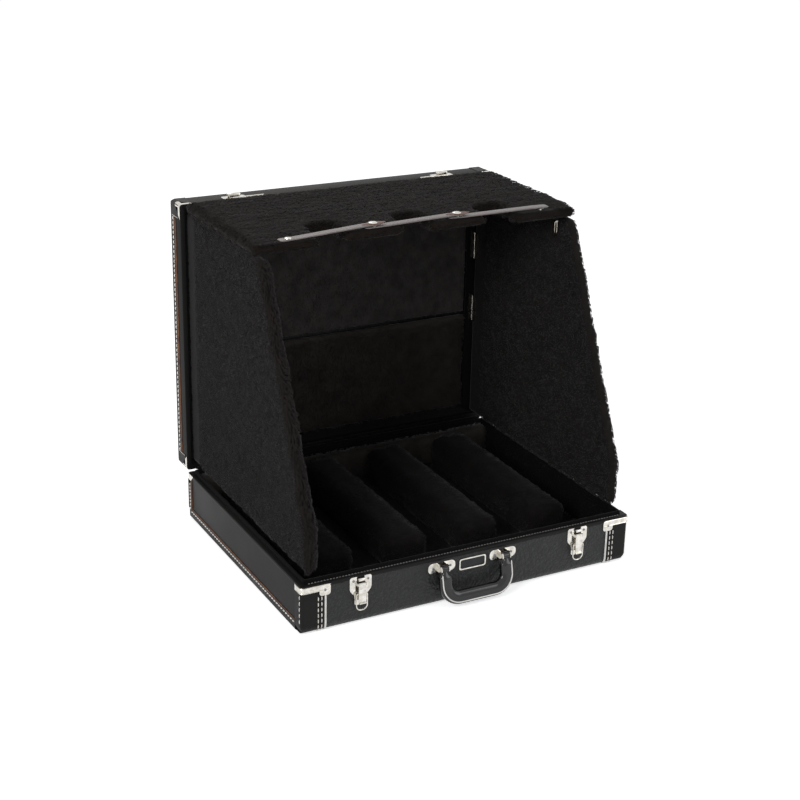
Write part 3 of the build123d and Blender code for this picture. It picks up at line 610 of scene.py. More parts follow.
def stitches(path: Array, across: Array, sewing: Sewing) -> Shape:
    """Set short threads end to end along a line, each drawn in where it enters the hide.

    A thread's ring at s along it, from -1/2 to 1/2 of its length, stands 0.6 (1 - 4 s^2)
    times its radius above the surface. Outward is tangent x across.

    Args:
        path: the line of holes.
        across: the direction in the surface that lies across the line.
        sewing: the stitch.

    Returns:
        All the threads as one shape.
    """
    run = running(path)[-1]
    count = max(1, int(run / sewing.pitch))
    middles = (np.arange(count) + 0.5) * run / count
    at = [stations(path, middles + off) for off in (-1, 0, 1)]
    tangent = unit(at[2] - at[0])
    out = unit(np.cross(tangent, across))
    side = np.cross(out, tangent)
    along = np.array([-0.5, -0.3, 0.0, 0.3, 0.5])
    width = np.array([0.35, 0.9, 1.0, 0.9, 0.35])
    ring = oval(1.0, 0.75, 5)
    local = np.empty((len(along), len(ring), 3))
    rise = (1 - 4 * along**2)[:, None] * 0.6
    local[..., 0] = (along * sewing.length)[:, None]
    local[..., 1] = sewing.radius * width[:, None] * ring[:, 0]
    local[..., 2] = sewing.radius * (width[:, None] * ring[:, 1] + rise)
    frames = np.stack([tangent, side, out], axis=1)
    points = at[1][:, None, None] + np.einsum("rsk,nkd->nrsd", local, frames)
    one = loft(local)
    starts = (np.arange(count) * len(one.points))[:, None, None]
    faces = [(face[None] + starts).reshape(-1, face.shape[1]) for face in one.faces]
    return Shape(points.reshape(-1, 3), faces).outward()


def put(
    name: str,
    shape: Shape,
    finish: Finish,
    body: str,
    slot: Slot,
    stands_for: Iterable[str] = (),
    second: Finish | None = None,
    where: Mask | None = None,
    sharp: float = 40.0,
) -> bpy.types.Object:
    """Write a shape as a finished piece of the object.

    Args:
        name: the piece's name.
        shape: its mesh in millimetres.
        finish: its material.
        body: the CAD body that it rides on.
        slot: the record's material slot; not used.
        stands_for: CAD nodes that it replaces.
        second: another finish for some faces.
        where: tells those faces by their centres and normals.
        sharp: edges that turn by more than this many degrees stay sharp.

    Returns:
        The new object.
    """
    mesh = bpy.data.meshes.new(name)
    corners = np.concatenate([face.ravel() for face in shape.faces]).astype(np.int32)
    sizes = np.concatenate([np.full(len(face), face.shape[1]) for face in shape.faces])
    mesh.vertices.add(len(shape.points))
    mesh.vertices.foreach_set("co", (shape.points * MM).astype(np.float32).ravel())
    mesh.loops.add(len(corners))
    mesh.loops.foreach_set("vertex_index", corners)
    mesh.polygons.add(len(sizes))
    mesh.polygons.foreach_set("loop_start", (np.cumsum(sizes) - sizes).astype(np.int32))
    mesh.update(calc_edges=True)
    mesh.validate()
    mesh.polygons.foreach_set("use_smooth", np.ones(len(mesh.polygons), bool))
    if shape.lift is not None:
        mesh.attributes.new(LIFT, "FLOAT", "POINT").data.foreach_set("value", shape.lift.astype(np.float32))
    mesh.materials.append(finish.material())
    if second is not None and where is not None:
        mesh.materials.append(second.material())
        centres = np.empty(len(mesh.polygons) * 3, np.float32)
        normals = np.empty(len(mesh.polygons) * 3, np.float32)
        mesh.polygons.foreach_get("center", centres)
        mesh.polygons.foreach_get("normal", normals)
        chosen = where(centres.reshape(-1, 3) / MM, normals.reshape(-1, 3))
        mesh.polygons.foreach_set("material_index", chosen.astype(np.int32))
    if shape.normals is not None:
        mesh.normals_split_custom_set_from_vertices(shape.normals.astype(np.float32))
    if sharp < 180:
        mesh.set_sharp_from_angle(angle=math.radians(sharp))
    piece = bpy.data.objects.new(name, mesh)
    bpy.context.scene.collection.objects.link(piece)
    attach(piece, body)
    nodes = list(stands_for)
    if nodes:
        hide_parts(*nodes)
    log.info("%s: %d faces on %s", name, len(sizes), body)
    return piece


def dress(finish: Finish, *nodes: str) -> None:
    """Give CAD nodes a finish.

    Args:
        finish: the finish that takes their material slots.
        *nodes: the nodes' names.
    """
    for node in nodes:
        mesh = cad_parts[node].data
        mesh.materials.clear()
        mesh.materials.append(finish.material())
        log.info("%s: %s", node, finish.name)


# Plush


def ripple(points: Array, size: float, seed: int, stretch: tuple[float, float, float] = (1, 1, 1)) -> Array:
    """Read a smooth random field: the sum of sixteen sine waves over 4.5, cut to -1 to 1.

    The waves run in all directions, and their length is size over 0.7 to 1.5.

    Args:
        points: where to read it.
        size: the waves' usual length.
        seed: picks the waves.
        stretch: how much longer the waves are along each axis.

    Returns:
        One value for each point.
    """
    rng = np.random.default_rng(seed)
    ways = unit(rng.normal(size=(16, 3))) * rng.uniform(0.7, 1.5, (16, 1)) * 2 * np.pi / size
    phase = rng.uniform(0, 2 * np.pi, 16)
    waves = np.sin(points / np.array(stretch) @ ways.T + phase)
    return np.clip(waves.sum(axis=1) / 4.5, -1, 1)


@dataclass(frozen=True)
class Pile:
    """How the pile of a plush face stands and lies.

    Length, width and spacing are a tuft's, in millimetres. Comb is the way it is brushed.
    Lean, wave and curl are degrees: from the normal, from the comb, and of the tips.
    """

    length: float
    width: float
    spacing: float
    comb: tuple[float, float, float]
    lean: float = 62.0
    wave: float = 45.0
    wave_size: float = 46.0
    curl: float = 30.0
    stretch: tuple[float, float, float] = (1, 1, 1)


@dataclass(frozen=True)
class Plush:
    """A plush-covered part: the CAD nodes it stands for, its soft skin and its pile.

    Reach gives the share of full pile at a point, and tone how much paler it is. Grid is
    the skin's mesh size, ease how often it is smoothed, lump the height of its ripple,
    and puff the most that the cloth simulation moves it, all lengths in millimetres.
    """

    name: str
    nodes: tuple[str, ...]
    body: str
    pile: Pile
    reach: Mask
    seed: int
    finish: Finish = PLUSH
    slot: Slot = Slot.PLUSH
    grid: float = 4.0
    lump: float = 1.2
    fill: float | None = 0.9
    ease: int = 2
    puff: float = 0.0
    lump_size: float = 24.0
    thick: float = 3.5
    sink: float = 3.0
    tone: Callable[[Array], Array] = lambda points: np.zeros(len(points))

    def base(self) -> tuple[Shape, Array]:
        """Make the soft skin under the pile.

        The CAD solids are cut into even small squares and smoothed so that the edges round
        over. Each point then moves along its normal by lump times the ripple times the
        share, plus thick times the share above 1, less sink times the share below 0.

        Returns:
            The skin and its normals.
        """
        joined = bmesh.new()
        for node in self.nodes:
            joined.from_mesh(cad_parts[node].data)
        bmesh.ops.remove_doubles(joined, verts=joined.verts, dist=1e-6)
        rough = bpy.data.meshes.new("work")
        joined.to_mesh(rough)
        joined.free()
        work = bpy.data.objects.new("work", rough)
        bpy.context.scene.collection.objects.link(work)
        cut = work.modifiers.new("grid", "REMESH")
        cut.mode = "VOXEL"
        cut.voxel_size = self.grid * MM
        ease = work.modifiers.new("ease", "SMOOTH")
        ease.factor = 0.5
        ease.iterations = self.ease
        mesh = bpy.data.meshes.new_from_object(work.evaluated_get(bpy.context.evaluated_depsgraph_get()))
        bpy.data.objects.remove(work)
        if self.puff:
            mesh = self.puffed(mesh)
        points = np.empty(len(mesh.vertices) * 3)
        normals = np.empty(len(mesh.vertices) * 3)
        mesh.vertices.foreach_get("co", points)
        mesh.vertices.foreach_get("normal", normals)
        corners = np.empty(len(mesh.loops), np.int32)
        sizes = np.empty(len(mesh.polygons), np.int32)
        mesh.loops.foreach_get("vertex_index", corners)
        mesh.polygons.foreach_get("loop_total", sizes)
        starts = np.cumsum(sizes) - sizes
        faces = [corners[starts[sizes == n][:, None] + np.arange(n)] for n in np.unique(sizes)]
        bpy.data.meshes.remove(mesh)
        points = points.reshape(-1, 3) / MM
        normals = normals.reshape(-1, 3)
        share = self.reach(points, normals)
        wave = ripple(points, self.lump_size, self.seed, self.pile.stretch)
        swell = wave * self.lump * np.clip(share, 0, 1)
        swell = swell + np.maximum(share - 1, 0) * self.thick + np.minimum(share, 0) * self.sink
        lift = 0.26 + 0.05 * wave + self.tone(points)
        return Shape(points + normals * swell[:, None], faces, lift, normals), normals

    def puffed(self, mesh: bpy.types.Mesh) -> bpy.types.Mesh:
        """Blow the cover up as cloth, so that it crowns and draws in at its edges.

        A point moves by the cloth's own step d, shortened to puff * d / (|d| + puff).

        Args:
            mesh: the cover at rest, which is used up.

        Returns:
            The crowned cover, as a plain mesh.
        """
        work = bpy.data.objects.new("work", mesh)
        bpy.context.scene.collection.objects.link(work)
        cloth = work.modifiers.new("cloth", "CLOTH")
        cloth.settings.use_pressure = True
        cloth.settings.uniform_pressure_force = CLOTH_PRESSURE
        cloth.settings.effector_weights.gravity = 0.0
        cloth.point_cache.frame_end = CLOTH_FRAMES
        for moment in range(1, CLOTH_FRAMES + 1):
            bpy.context.scene.frame_set(moment)
        swollen = bpy.data.meshes.new_from_object(work.evaluated_get(bpy.context.evaluated_depsgraph_get()))
        before = np.empty(len(mesh.vertices) * 3)
        after = np.empty(len(mesh.vertices) * 3)
        mesh.vertices.foreach_get("co", before)
        swollen.vertices.foreach_get("co", after)
        step = (after - before).reshape(-1, 3)
        far = np.linalg.norm(step, axis=1, keepdims=True)
        limit = self.puff * MM
        swollen.vertices.foreach_set("co", (before.reshape(-1, 3) + step * limit / (far + limit)).ravel())
        swollen.update()
        bpy.data.objects.remove(work)
        bpy.data.meshes.remove(mesh)
        bpy.context.scene.frame_set(1)
        log.info("%s: cover blown up by up to %.1f mm", self.name, float(far.max()) / MM)
        return swollen

    def tufts(self, base: Shape, normals: Array) -> Shape:
        """Plant the pile.

        Roots are spread evenly by area. A tuft is a spindle: a sunk foot, a three-sided
        waist half way up and a tip. Its lower half stands half way to the lean, its upper
        half lies at the lean and turns by the curl, and both follow the comb as a ripple
        turns it in the surface. It is shaded mostly as the skin below it, as dense pile is.

        Args:
            base: the skin that the tufts stand on.
            normals: its normals at its points.

        Returns:
            All the tufts as one shape.
        """
        rng = np.random.default_rng(self.seed)
        pile = self.pile
        triangles = base.triangles()
        a, b, c = (base.points[corner] for corner in triangles.T)
        area = np.linalg.norm(np.cross(b - a, c - a), axis=1) / 2
        count = int(area.sum() / pile.spacing**2)
        pick = rng.choice(len(triangles), count, p=area / area.sum())
        mix = rng.dirichlet((1, 1, 1), count)[..., None]
        root = (base.points[triangles[pick]] * mix).sum(axis=1)
        normal = unit((normals[triangles[pick]] * mix).sum(axis=1))
        share = self.reach(root, normal)
        kept = share > rng.uniform(0.02, 0.25, count)
        root, normal, share = root[kept], normal[kept], share[kept]
        count = len(root)
        comb = np.array(pile.comb) - normal * (normal @ np.array(pile.comb))[:, None]
        comb = unit(comb + 0.05 * np.cross(normal, X) + 1e-6)
        side = np.cross(normal, comb)
        turn = np.radians(pile.wave) * ripple(root, pile.wave_size, self.seed + 1, pile.stretch)
        turn = turn + np.radians(rng.normal(0, 12, count))
        curl = np.radians(pile.curl) * ripple(root, pile.wave_size * 0.4, self.seed + 2) + turn
        lock = ripple(root, 15, self.seed + 3, pile.stretch)
        lean = np.radians(pile.lean + 7 * lock + rng.normal(0, 4, count))
        length = pile.length * share * (1 + 0.25 * lock) * rng.uniform(0.75, 1.15, count)

        def heading(angle: Array, tilt: Array) -> Array:
            """Find the unit direction at an angle in the surface and a tilt from its normal."""
            flat = comb * np.cos(angle)[:, None] + side * np.sin(angle)[:, None]
            return normal * np.cos(tilt)[:, None] + flat * np.sin(tilt)[:, None]

        lower, upper = heading(turn, lean * 0.55), heading(curl, lean * 1.15)
        middle = root + lower * (length * 0.5)[:, None]
        tip = middle + upper * (length * 0.6)[:, None]
        wide = pile.width * (0.6 + 0.4 * share) * rng.uniform(0.8, 1.2, count) / 2
        first = unit(np.cross(lower, normal) + 1e-6)
        second = np.cross(lower, first)
        corners = np.linspace(0, 2 * np.pi, 3, endpoint=False)[None, :, None]
        ring = np.cos(corners) * first[:, None] + np.sin(corners) * second[:, None]
        waist = middle[:, None] + ring * wide[:, None, None]
        points = np.concatenate([(root - lower)[:, None], waist, tip[:, None]], axis=1)
        facing_out = unit(normal[:, None] + ring * 0.35)
        shading = np.concatenate([normal[:, None], facing_out, normal[:, None]], axis=1)
        starts = (np.arange(count) * points.shape[1])[:, None, None]
        cut = np.array([[0, 2, 1], [0, 3, 2], [0, 1, 3], [1, 2, 4], [2, 3, 4], [3, 1, 4]])
        tone = np.clip(0.3 + 0.1 * lock + rng.normal(0, 0.05, count) + self.tone(root), 0.02, 1)
        # Each tuft runs from painted shade at its root (0.6) to a painted sheen at its tip (1.15)
        lift = tone[:, None] * np.array([0.6, 0.9, 0.9, 0.9, 1.15])
        faces = [(cut[None] + starts).reshape(-1, 3)]
        return Shape(points.reshape(-1, 3), faces, lift.ravel(), shading.reshape(-1, 3)).outward()

    def build(self) -> None:
        base, normals = self.base()
        whole = together([base, self.tufts(base, normals)])
        piece = put(self.name, whole, self.finish, self.body, self.slot, self.nodes, sharp=180)


def facing(direction: Array) -> Mask:
    """Give full pile on faces that look a given way, and none on the others."""
    return lambda points, normals: np.clip((normals @ direction - 0.2) * 4, 0, 1)


@dataclass(frozen=True)
class Upholstery:
    """All the plush: in the tray, in the lid, on the wings and on the top panel.

    Reach methods give the share of full pile at each point, from below 0, where the skin
    sinks, to above 1, where it grows thicker. The other methods give how much paler it is:
    painted light and shade, and on the panel also streaks.
    """

    lid_front: float = 257.5
    panel_rear: float = 255.0
    panel_low: float = 592.0
    panel_top: float = 605.3
    wing_top: float = 583.0
    ledge: float = 306.0
    notch_x: tuple[float, ...] = (-162.0, 0.0, 162.0)
    notch_rear: float = 36.0
    knee: tuple[float, float] = (-236.0, 184.7)
    slope: tuple[float, float] = (0.408, 0.913)
    lip_y: float = 247.0
    lip_z: float = 97.6
    lip_half: float = 306.0
    lid_margin: float = 22.0
    edge_width: float = 24.0
    outer_face: float = 150.0
    low_down: float = 270.0
    catch_gap: float = 4.0
    catch_fade: float = 9.0
    curl_line: float = 26.0
    curl_half: float = 14.0
    strap_half: float = 8.0
    strap_x: tuple[float, ...] = (-260.0, -243.0, -81.0, 81.0, 243.0, 258.0)
    strap_y: tuple[float, ...] = (-36.3, -35.0, -21.0, -21.0, -35.0, -36.3)

    def from_edge(self, points: Array) -> Array:
        """Measure how far points lie behind a wing's front edge.

        The edge is upright to the knee and slopes back above it, so the distance is the
        smaller one of those to the two lines.

        Args:
            points: where to measure.

        Returns:
            One distance for each point.
        """
        behind = points[:, 1] - self.knee[0]
        leaning = behind * self.slope[1] - (points[:, 2] - self.knee[1]) * self.slope[0]
        return np.minimum(behind, leaning)

    def wing_reach(self, points: Array, normals: Array) -> Array:
        """Give full pile, thick at the front edge, short in the lid and none round the catch.

        Args:
            points: places on a wing.
            normals: the surface's normals there.

        Returns:
            The share of full pile at each point.
        """
        share = np.clip((self.lid_front - self.lid_margin - points[:, 1]) / 20, 0.12, 1)
        share = share * np.where((points[:, 2] > self.wing_top) & (normals[:, 2] > 0.4), 0.0, 1.0)
        front = np.clip(1 - self.from_edge(points) / self.edge_width, 0, 1)
        front = front * (normals[:, 0] * points[:, 0] < self.outer_face)
        low_down = np.clip((self.low_down - points[:, 2]) / 100, 0, 1)
        share = share + front * np.where(points[:, 0] < 0, 1.0 + 0.3 * low_down, 0.0)
        for hand in SIDES:
            low, high = (np.array(corner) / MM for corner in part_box(f"catch_plate_{hand}"))
            outside = np.maximum(low - points, points - high).max(axis=1)
            faded = share * np.clip((outside - self.catch_gap) / self.catch_fade, 0, 1)
            share = np.where(outside < self.catch_gap, -0.8, faded)
        return share

    def wing_light_and_shade(self, points: Array) -> Array:
        """Paint light and shade on a wing: a painted highlight on the front edge, painted light on
        the curls of a band behind it with painted shade in their hollows, and painted shade low on
        the left wing.

        Args:
            points: places on a wing.

        Returns:
            How much paler the pile is at each point.
        """
        far = self.from_edge(points)
        band = np.clip(1.4 - np.abs(far - self.curl_line) / self.curl_half, 0, 1)
        curl_light_and_shade = np.clip(ripple(points, 13, 5) * 2.2, -1, 0.3)
        # Painted shade low on the left wing
        low_down = np.clip((330 - points[:, 2]) / 160, 0, 1) * (points[:, 0] < 0)
        return band * curl_light_and_shade * 0.4 + 0.5 * np.clip(1.3 - far / 9, 0, 1) - 0.13 * low_down

    def ledge_highlight(self, points: Array) -> Array:
        """Lighten the lower back pad's top edge: a painted highlight where the ledge's top faces the light.
        """
        return 0.9 * np.clip((points[:, 2] - self.ledge + 12) / 10, 0, 1)

    def panel_reach(self, points: Array, normals: Array) -> Array:
        """Give full pile on top and round the edges, and pressed pile under the strap.

        Args:
            points: places on the panel.
            normals: the surface's normals there.

        Returns:
            The share of full pile at each point, short below and by the hinges.
        """
        above = np.where(points[:, 2] < self.panel_low, 0.16, 1.0)
        rear = np.where((points[:, 1] > self.panel_rear - 5) & (normals[:, 1] > 0.3), 0.0, 1.0)
        rear = rear * np.clip((self.panel_rear + 6 - points[:, 1]) / 26, 0.3, 1)
        line = np.abs(points[:, 1] - np.interp(points[:, 0], self.strap_x, self.strap_y))
        beyond = np.clip((np.abs(points[:, 0]) - self.strap_x[-1]) / 10, 0, 1)
        pressed = np.clip((line - self.strap_half) / 10 + beyond, 0.08, 1)
        off_notch = np.abs(points[:, :1] - np.array(self.notch_x)).min(axis=1)
        fringe = (off_notch < 40) & (points[:, 1] < self.notch_rear + 12)
        fringe = fringe & (points[:, 2] > self.panel_low + 3)
        on_top = np.where(points[:, 2] > self.panel_top - 6, pressed, 1.0)
        return above * rear * on_top * np.where(fringe, 1.15, 1.0)

    def panel_streaks_and_edge_light(self, points: Array) -> Array:
        """Draw wavy streaks along the panel, and lighten its edges with a painted highlight."""
        streaks = 0.17 * ripple(points, 24, 6, (5, 1, 1)) + 0.05 * ripple(points, 90, 7, (2, 1, 1))
        return streaks + 0.35 * np.clip((self.panel_top - 3 - points[:, 2]) / 4, 0, 1)

    def lip_roll(self) -> Shape:
        """Make the roll on the rear lip: a thin cord, 5.2 times wider and 2.8 times higher.

        Returns:
            The roll, with a ripple on top.
        """
        middle = np.array([0, self.lip_y, self.lip_z])
        ends = middle + [[-self.lip_half, 0, 0], [self.lip_half, 0, 0]]
        roll = cord(even(ends, 6), 1.0, Z, 12)
        spread = (roll.points - middle) * [1, 5.2, 2.8] + middle
        wave = ripple(spread, 14, 45)
        return Shape(spread + Z * (wave * 0.3)[:, None], roll.faces, 0.2 + 0.1 * wave)

    def wings_and_panel(self) -> list[Plush]:
        """List the plush of the parts that stand out of the lid.

        Returns:
            Both wings and the top panel.
        """
        hanging = Pile(
            6.5, 1.9, 3.0, (0.0, -0.25, -1.0), lean=78, wave=26, wave_size=60, stretch=(1, 1, 1.8)
        )
        reach, tone = self.wing_reach, self.wing_light_and_shade
        wings = [
            Plush(f"{name}_plush", (name,), name, hanging, reach, seed, lump=0.9, tone=tone)
            for seed, name in ((11, "wing_left"), (12, "wing_right"))
        ]
        raked = Pile(
            8, 1.8, 3.0, (1.0, -0.12, 0.0), lean=82, wave=16, wave_size=80, curl=18, stretch=(2.8, 1, 1)
        )
        panel = Plush(
            "top_panel_plush", ("top_panel",), "top_panel", raked, self.panel_reach, 21, WARM_LIT_PLUSH,
            lump=1.5, tone=self.panel_streaks_and_edge_light,
        )
        return [*wings, panel]

    def lid_plush(self) -> list[Plush]:
        """List the plush inside the lid.

        Returns:
            The back pad and the linings.
        """
        inward = Pile(6, 1.5, 3.4, (0.3, -0.2, -1.0), lean=74)
        short = Pile(3.5, 1.6, 4.2, (0.2, -0.1, -1.0), lean=70)
        pad = Plush(
            "back_pad_plush", ("lower_back_pad",), "lid", inward, facing(-Y), 31, LIT_PAD_PLUSH,
            grid=5.0, puff=3.0, tone=self.ledge_highlight,
        )
        sides = ("lid_end_linings", "lid_side_linings", "hinge_battens")
        linings = [
            Plush(
                f"{name}_plush", nodes, "lid", short, facing(-Y), 32, finish, Slot.LINING,
                grid=3.0, lump=0.4, fill=None,
            )
            for name, nodes, finish in (
                ("upper_back", ("upper_back_lining",), LIT_VELOUR),
                ("lid_lining", sides, SHADED_VELOUR),
            )
        ]
        return [pad, *linings]

    def tray_plush(self) -> list[Plush]:
        """List the plush in the tray.

        Returns:
            The floor, the ridges, the bolster and the lining boards.
        """
        brushed = Pile(6, 1.6, 3.4, (0.2, -1.0, 0.0), lean=74)
        close = Pile(3, 1.6, 4.2, (0.3, 0.2, -1.0), lean=50)
        glued = self.ridge_reach
        return [
            Plush("floor_plush", ("floor_pad",), "base", brushed, facing(Z), 41, lump=0.8),
            Plush(
                "ridge_plush", ("ridge_pads",), "base", brushed, glued, 42, SHADED_RIDGE_PLUSH,
                grid=6.0, ease=4, puff=5.0,
            ),
            Plush(
                "bolster_plush", ("rear_bolster",), "base", brushed, glued, 43, LIT_PAD_PLUSH,
                grid=5.0, ease=3, puff=3.0,
            ),
            Plush(
                "tray_lining_plush", ("front_liner", "rear_liner", "side_liners"), "base", close,
                self.lip_reach, 44, SHADED_VELOUR, Slot.LINING, grid=2.6, lump=0.25, fill=None,
            ),
        ]

    def build(self) -> None:
        """Make every plush piece."""
        for plush in (*self.wings_and_panel(), *self.lid_plush(), *self.tray_plush()):
            plush.build()
        put("rear_lip_roll", self.lip_roll(), SHADED_VELOUR, "base", Slot.LINING)

    def ridge_reach(self, points: Array, normals: Array) -> Array:
        """Give full pile except on the foot that is glued down."""
        return np.where(normals[:, 2] < -0.5, 0.0, 1.0)

    def lip_reach(self, points: Array, normals: Array) -> Array:
        """Give pile on the faces that look into the tray, and half as much on the lip's top.

        Args:
            points: places on the lining.
            normals: the surface's normals there.

        Returns:
            The share of full pile at each point.
        """
        inside = -np.sign(points[:, 0]) * normals[:, 0] * (np.abs(points[:, 0]) > 300)
        inside = inside - np.sign(points[:, 1]) * normals[:, 1] * (np.abs(points[:, 1]) > 236)
        return np.clip(inside * 1.5, 0, 1) * np.where(points[:, 2] > 92, 0.5, 1.0)


# Boxes, leather and piping


@dataclass(frozen=True)
class Tray:
    """The vinyl-covered tray with its binding, stitches and piping."""

    half_x: float = 320.0
    half_y: float = 254.0
    height: float = 90.0
    wall: float = 9.0
    floor: float = 7.0
    edge: float = 14.0
    side_edge: float = 5.0
    corner: float = 5.0
    leather: float = 1.0
    piping_x: float = 276.6
    piping_radius: float = 1.7
    stitch_x: tuple[float, float] = (283.6, 290.0)
    leather_top: float = 68.0
    binding: float = 19.0
    fold: float = 83.5
    band_front: float = -231.0
    band_rear: float = 248.5
    upright_y: float = 236.4
    edging_z: float = 20.2
    cord_x: float = -320.6
    corner_stitch_y: float = -249.5
    low_stitch_z: float = 15.8
    rear_stitch_y: float = 241.8
    rim_stitch: tuple[float, float, float] = (306.0, -247.6, 90.1)
    front_sewing: Sewing = Sewing(9.9, 7.4, 0.95)
    corner_sewing: Sewing = Sewing(10.2, 7.4, 0.95)
    low_sewing: Sewing = Sewing(9.5, 6.4, 1.5)
    rear_sewing: Sewing = Sewing(7.0, 5.2, 1.6)
    rim_sewing: Sewing = Sewing(5.6, 3.6, 1.0)

    def outline(self, inset: float, z: float) -> Array:
        """Draw the tray's outline at a height.

        It is drawn in by the inset all round, but below side_edge the sides follow a
        tighter quarter circle: r less the root of r^2 - (r - z)^2.

        Args:
            inset: how far the front and rear lie inside the full size.
            z: the height.

        Returns:
            The outline's points.
        """
        radius = max(self.corner - 0.3 * inset, 1.2)
        tight = self.side_edge
        side = tight - math.sqrt(tight**2 - (tight - z) ** 2) if z < tight else inset
        pairs = rounded(self.half_x - side, self.half_y - inset, radius)
        return np.column_stack([pairs, np.full(len(pairs), z)])

    def cover(self) -> Shape:
        """Skin the tray: underside, rolled lower edge, walls, rolled rim, inside.

        Returns:
            One continuous closed skin.
        """
        roll = np.radians(np.linspace(0, 90, 8))
        levels = [(self.edge * (1 - math.sin(t)), self.edge * (1 - math.cos(t))) for t in roll]
        fold, top, wall = self.fold, self.height, self.wall
        levels += [(0.0, 30.0), (0.0, fold - 0.4), (0.35, fold), (-0.3, fold + 0.6), (-0.8, fold + 2.0)]
        levels += [(-0.8, top - 2.4), (-0.1, top - 0.7), (1.4, top), (wall - 0.4, top), (wall, top - 0.4)]
        levels += [(wall, self.floor)]
        return loft(np.stack([self.outline(*level) for level in levels]))

    def front_line(self, x: float, rise: float, top: float, low: float = 78.0) -> Array:
        """Draw a line down the front wall and round its lower edge.

        Args:
            x: the line's place along the front.
            rise: its height above the vinyl.
            top: where it starts.
            low: how many degrees of the rolled edge it follows.

        Returns:
            The line's points, from the top.
        """
        turn = np.radians(np.linspace(0, low, 9))
        y = -self.half_y + self.edge - (self.edge + rise) * np.cos(turn)
        z = self.edge - (self.edge + rise) * np.sin(turn)
        points = np.column_stack([np.full(9, x), y, np.maximum(z, 2.0 if rise < 0.9 else 0.9)])
        return np.concatenate([[[x, -self.half_y - rise, top]], points])

    def side_band(self) -> Shape:
        """Make the binding round the left side's lower edge: a sheet that thins under the tray.

        Returns:
            The closed sheet.
        """
        turn = np.radians(np.linspace(0, 84, 9))
        thick = np.linspace(self.leather, 0.25, 9)
        radius = self.side_edge
        inner = np.stack([-self.half_x + radius * (1 - np.cos(turn)), radius * (1 - np.sin(turn))], axis=-1)
        out = np.stack([-np.cos(turn), -np.sin(turn)], axis=-1)
        outer = inner + out * thick[:, None]
        outer[:, 1] = np.maximum(outer[:, 1], 0.05)
        inner = np.concatenate([[[-self.half_x, self.binding]], inner])
        outer = np.concatenate([[[-self.half_x - self.leather, self.binding]], outer])
        sheets = []
        for edge in (outer, inner):
            rows = [np.insert(edge, 1, y, axis=1) for y in (self.band_front, self.band_rear)]
            sheets.append(np.stack(rows))
        return slab(*sheets)

    def rear_band(self) -> Shape:
        """Make the upright binding on the left side's rear edge.

        Returns:
            The closed sheet.
        """
        y = np.linspace(237.0, 253.0, 5)
        z = np.linspace(self.binding, self.height - 12, 6)
        spot = np.stack(np.meshgrid(y, z, indexing="ij"), axis=-1)
        outer = np.insert(spot, 0, -self.half_x - self.leather, axis=-1)
        return slab(outer, outer + [self.leather, 0, 0])

    def rows(self) -> Iterable[Shape]:
        """Sew the rows of stitches on the left: two on the front, and three on the side.

        Returns:
            The rows, one after another.
        """
        for x in self.stitch_x:
            line = self.front_line(-x, self.leather, self.leather_top, 70)
            yield stitches(even(line, 2), X, self.front_sewing)
        face = -self.half_x - self.leather
        front = np.array([[face, self.corner_stitch_y, 75.0], [face, self.corner_stitch_y, 20.0]])
        yield stitches(front, -Y, self.corner_sewing)
        along = np.array([[face, -230.0, self.low_stitch_z], [face, 239.0, self.low_stitch_z]])
        yield stitches(along, -Z, self.low_sewing)
        rear = np.array([[face, self.rear_stitch_y, 74.0], [face, self.rear_stitch_y, 18.0]])
        yield stitches(rear, -Y, self.rear_sewing)

    def side_cords(self) -> Shape:
        """Lay the cord above the left side's binding, and the upright one at its rear end.

        Returns:
            Both cords.
        """
        x, y, z = self.cord_x, self.upright_y, self.edging_z
        edging = np.array([[x, self.band_front, z], [x, 236.0, z]])
        upright = np.array([[x, y, 20.0], [x, y, 79.0]])
        return together([cord(even(edging, 6), 1.0, Z, 6), cord(even(upright, 6), 1.6, Y, 6)])

    def build(self) -> None:
        """Make the cover, the bindings, all rows of stitches and the piping."""
        boards = [f"base_{part}" for part in ("front_wall", "rear_wall", "left_wall", "right_wall", "floor")]

        def front(centres: Array, normals: Array) -> Array:
            """Choose the faces of the front below the fold."""
            return (normals[:, 1] < -0.35) & (centres[:, 2] < self.fold)

        put("tray_cover", self.cover(), VINYL, "base", Slot.BOARD, boards, second=TOLEX, where=front)
        dress(LEATHER, "front_leathers")
        line = even(self.front_line(-self.piping_x, self.leather * 0.7, self.leather_top), 2)
        piping = both_sides(cord(line, self.piping_radius, X))
        put("front_piping_cord", piping, CORD, "base", Slot.PIPING, ["front_piping"])
        put("tray_stitches", both_sides(together(self.rows())), THREAD, "base", Slot.LEATHER)
        bands = both_sides(together([self.side_band(), self.rear_band()]))
        put("tray_side_bands", bands, LEATHER, "base", Slot.LEATHER)
        put("tray_side_piping", both_sides(self.side_cords()), RUST_CORD, "base", Slot.PIPING)
        lip = np.array(self.rim_stitch) * [[-1, 1, 1], [1, 1, 1]]
        put("rim_stitches", stitches(lip, Y, self.rim_sewing), GREY_THREAD, "base", Slot.LINING)


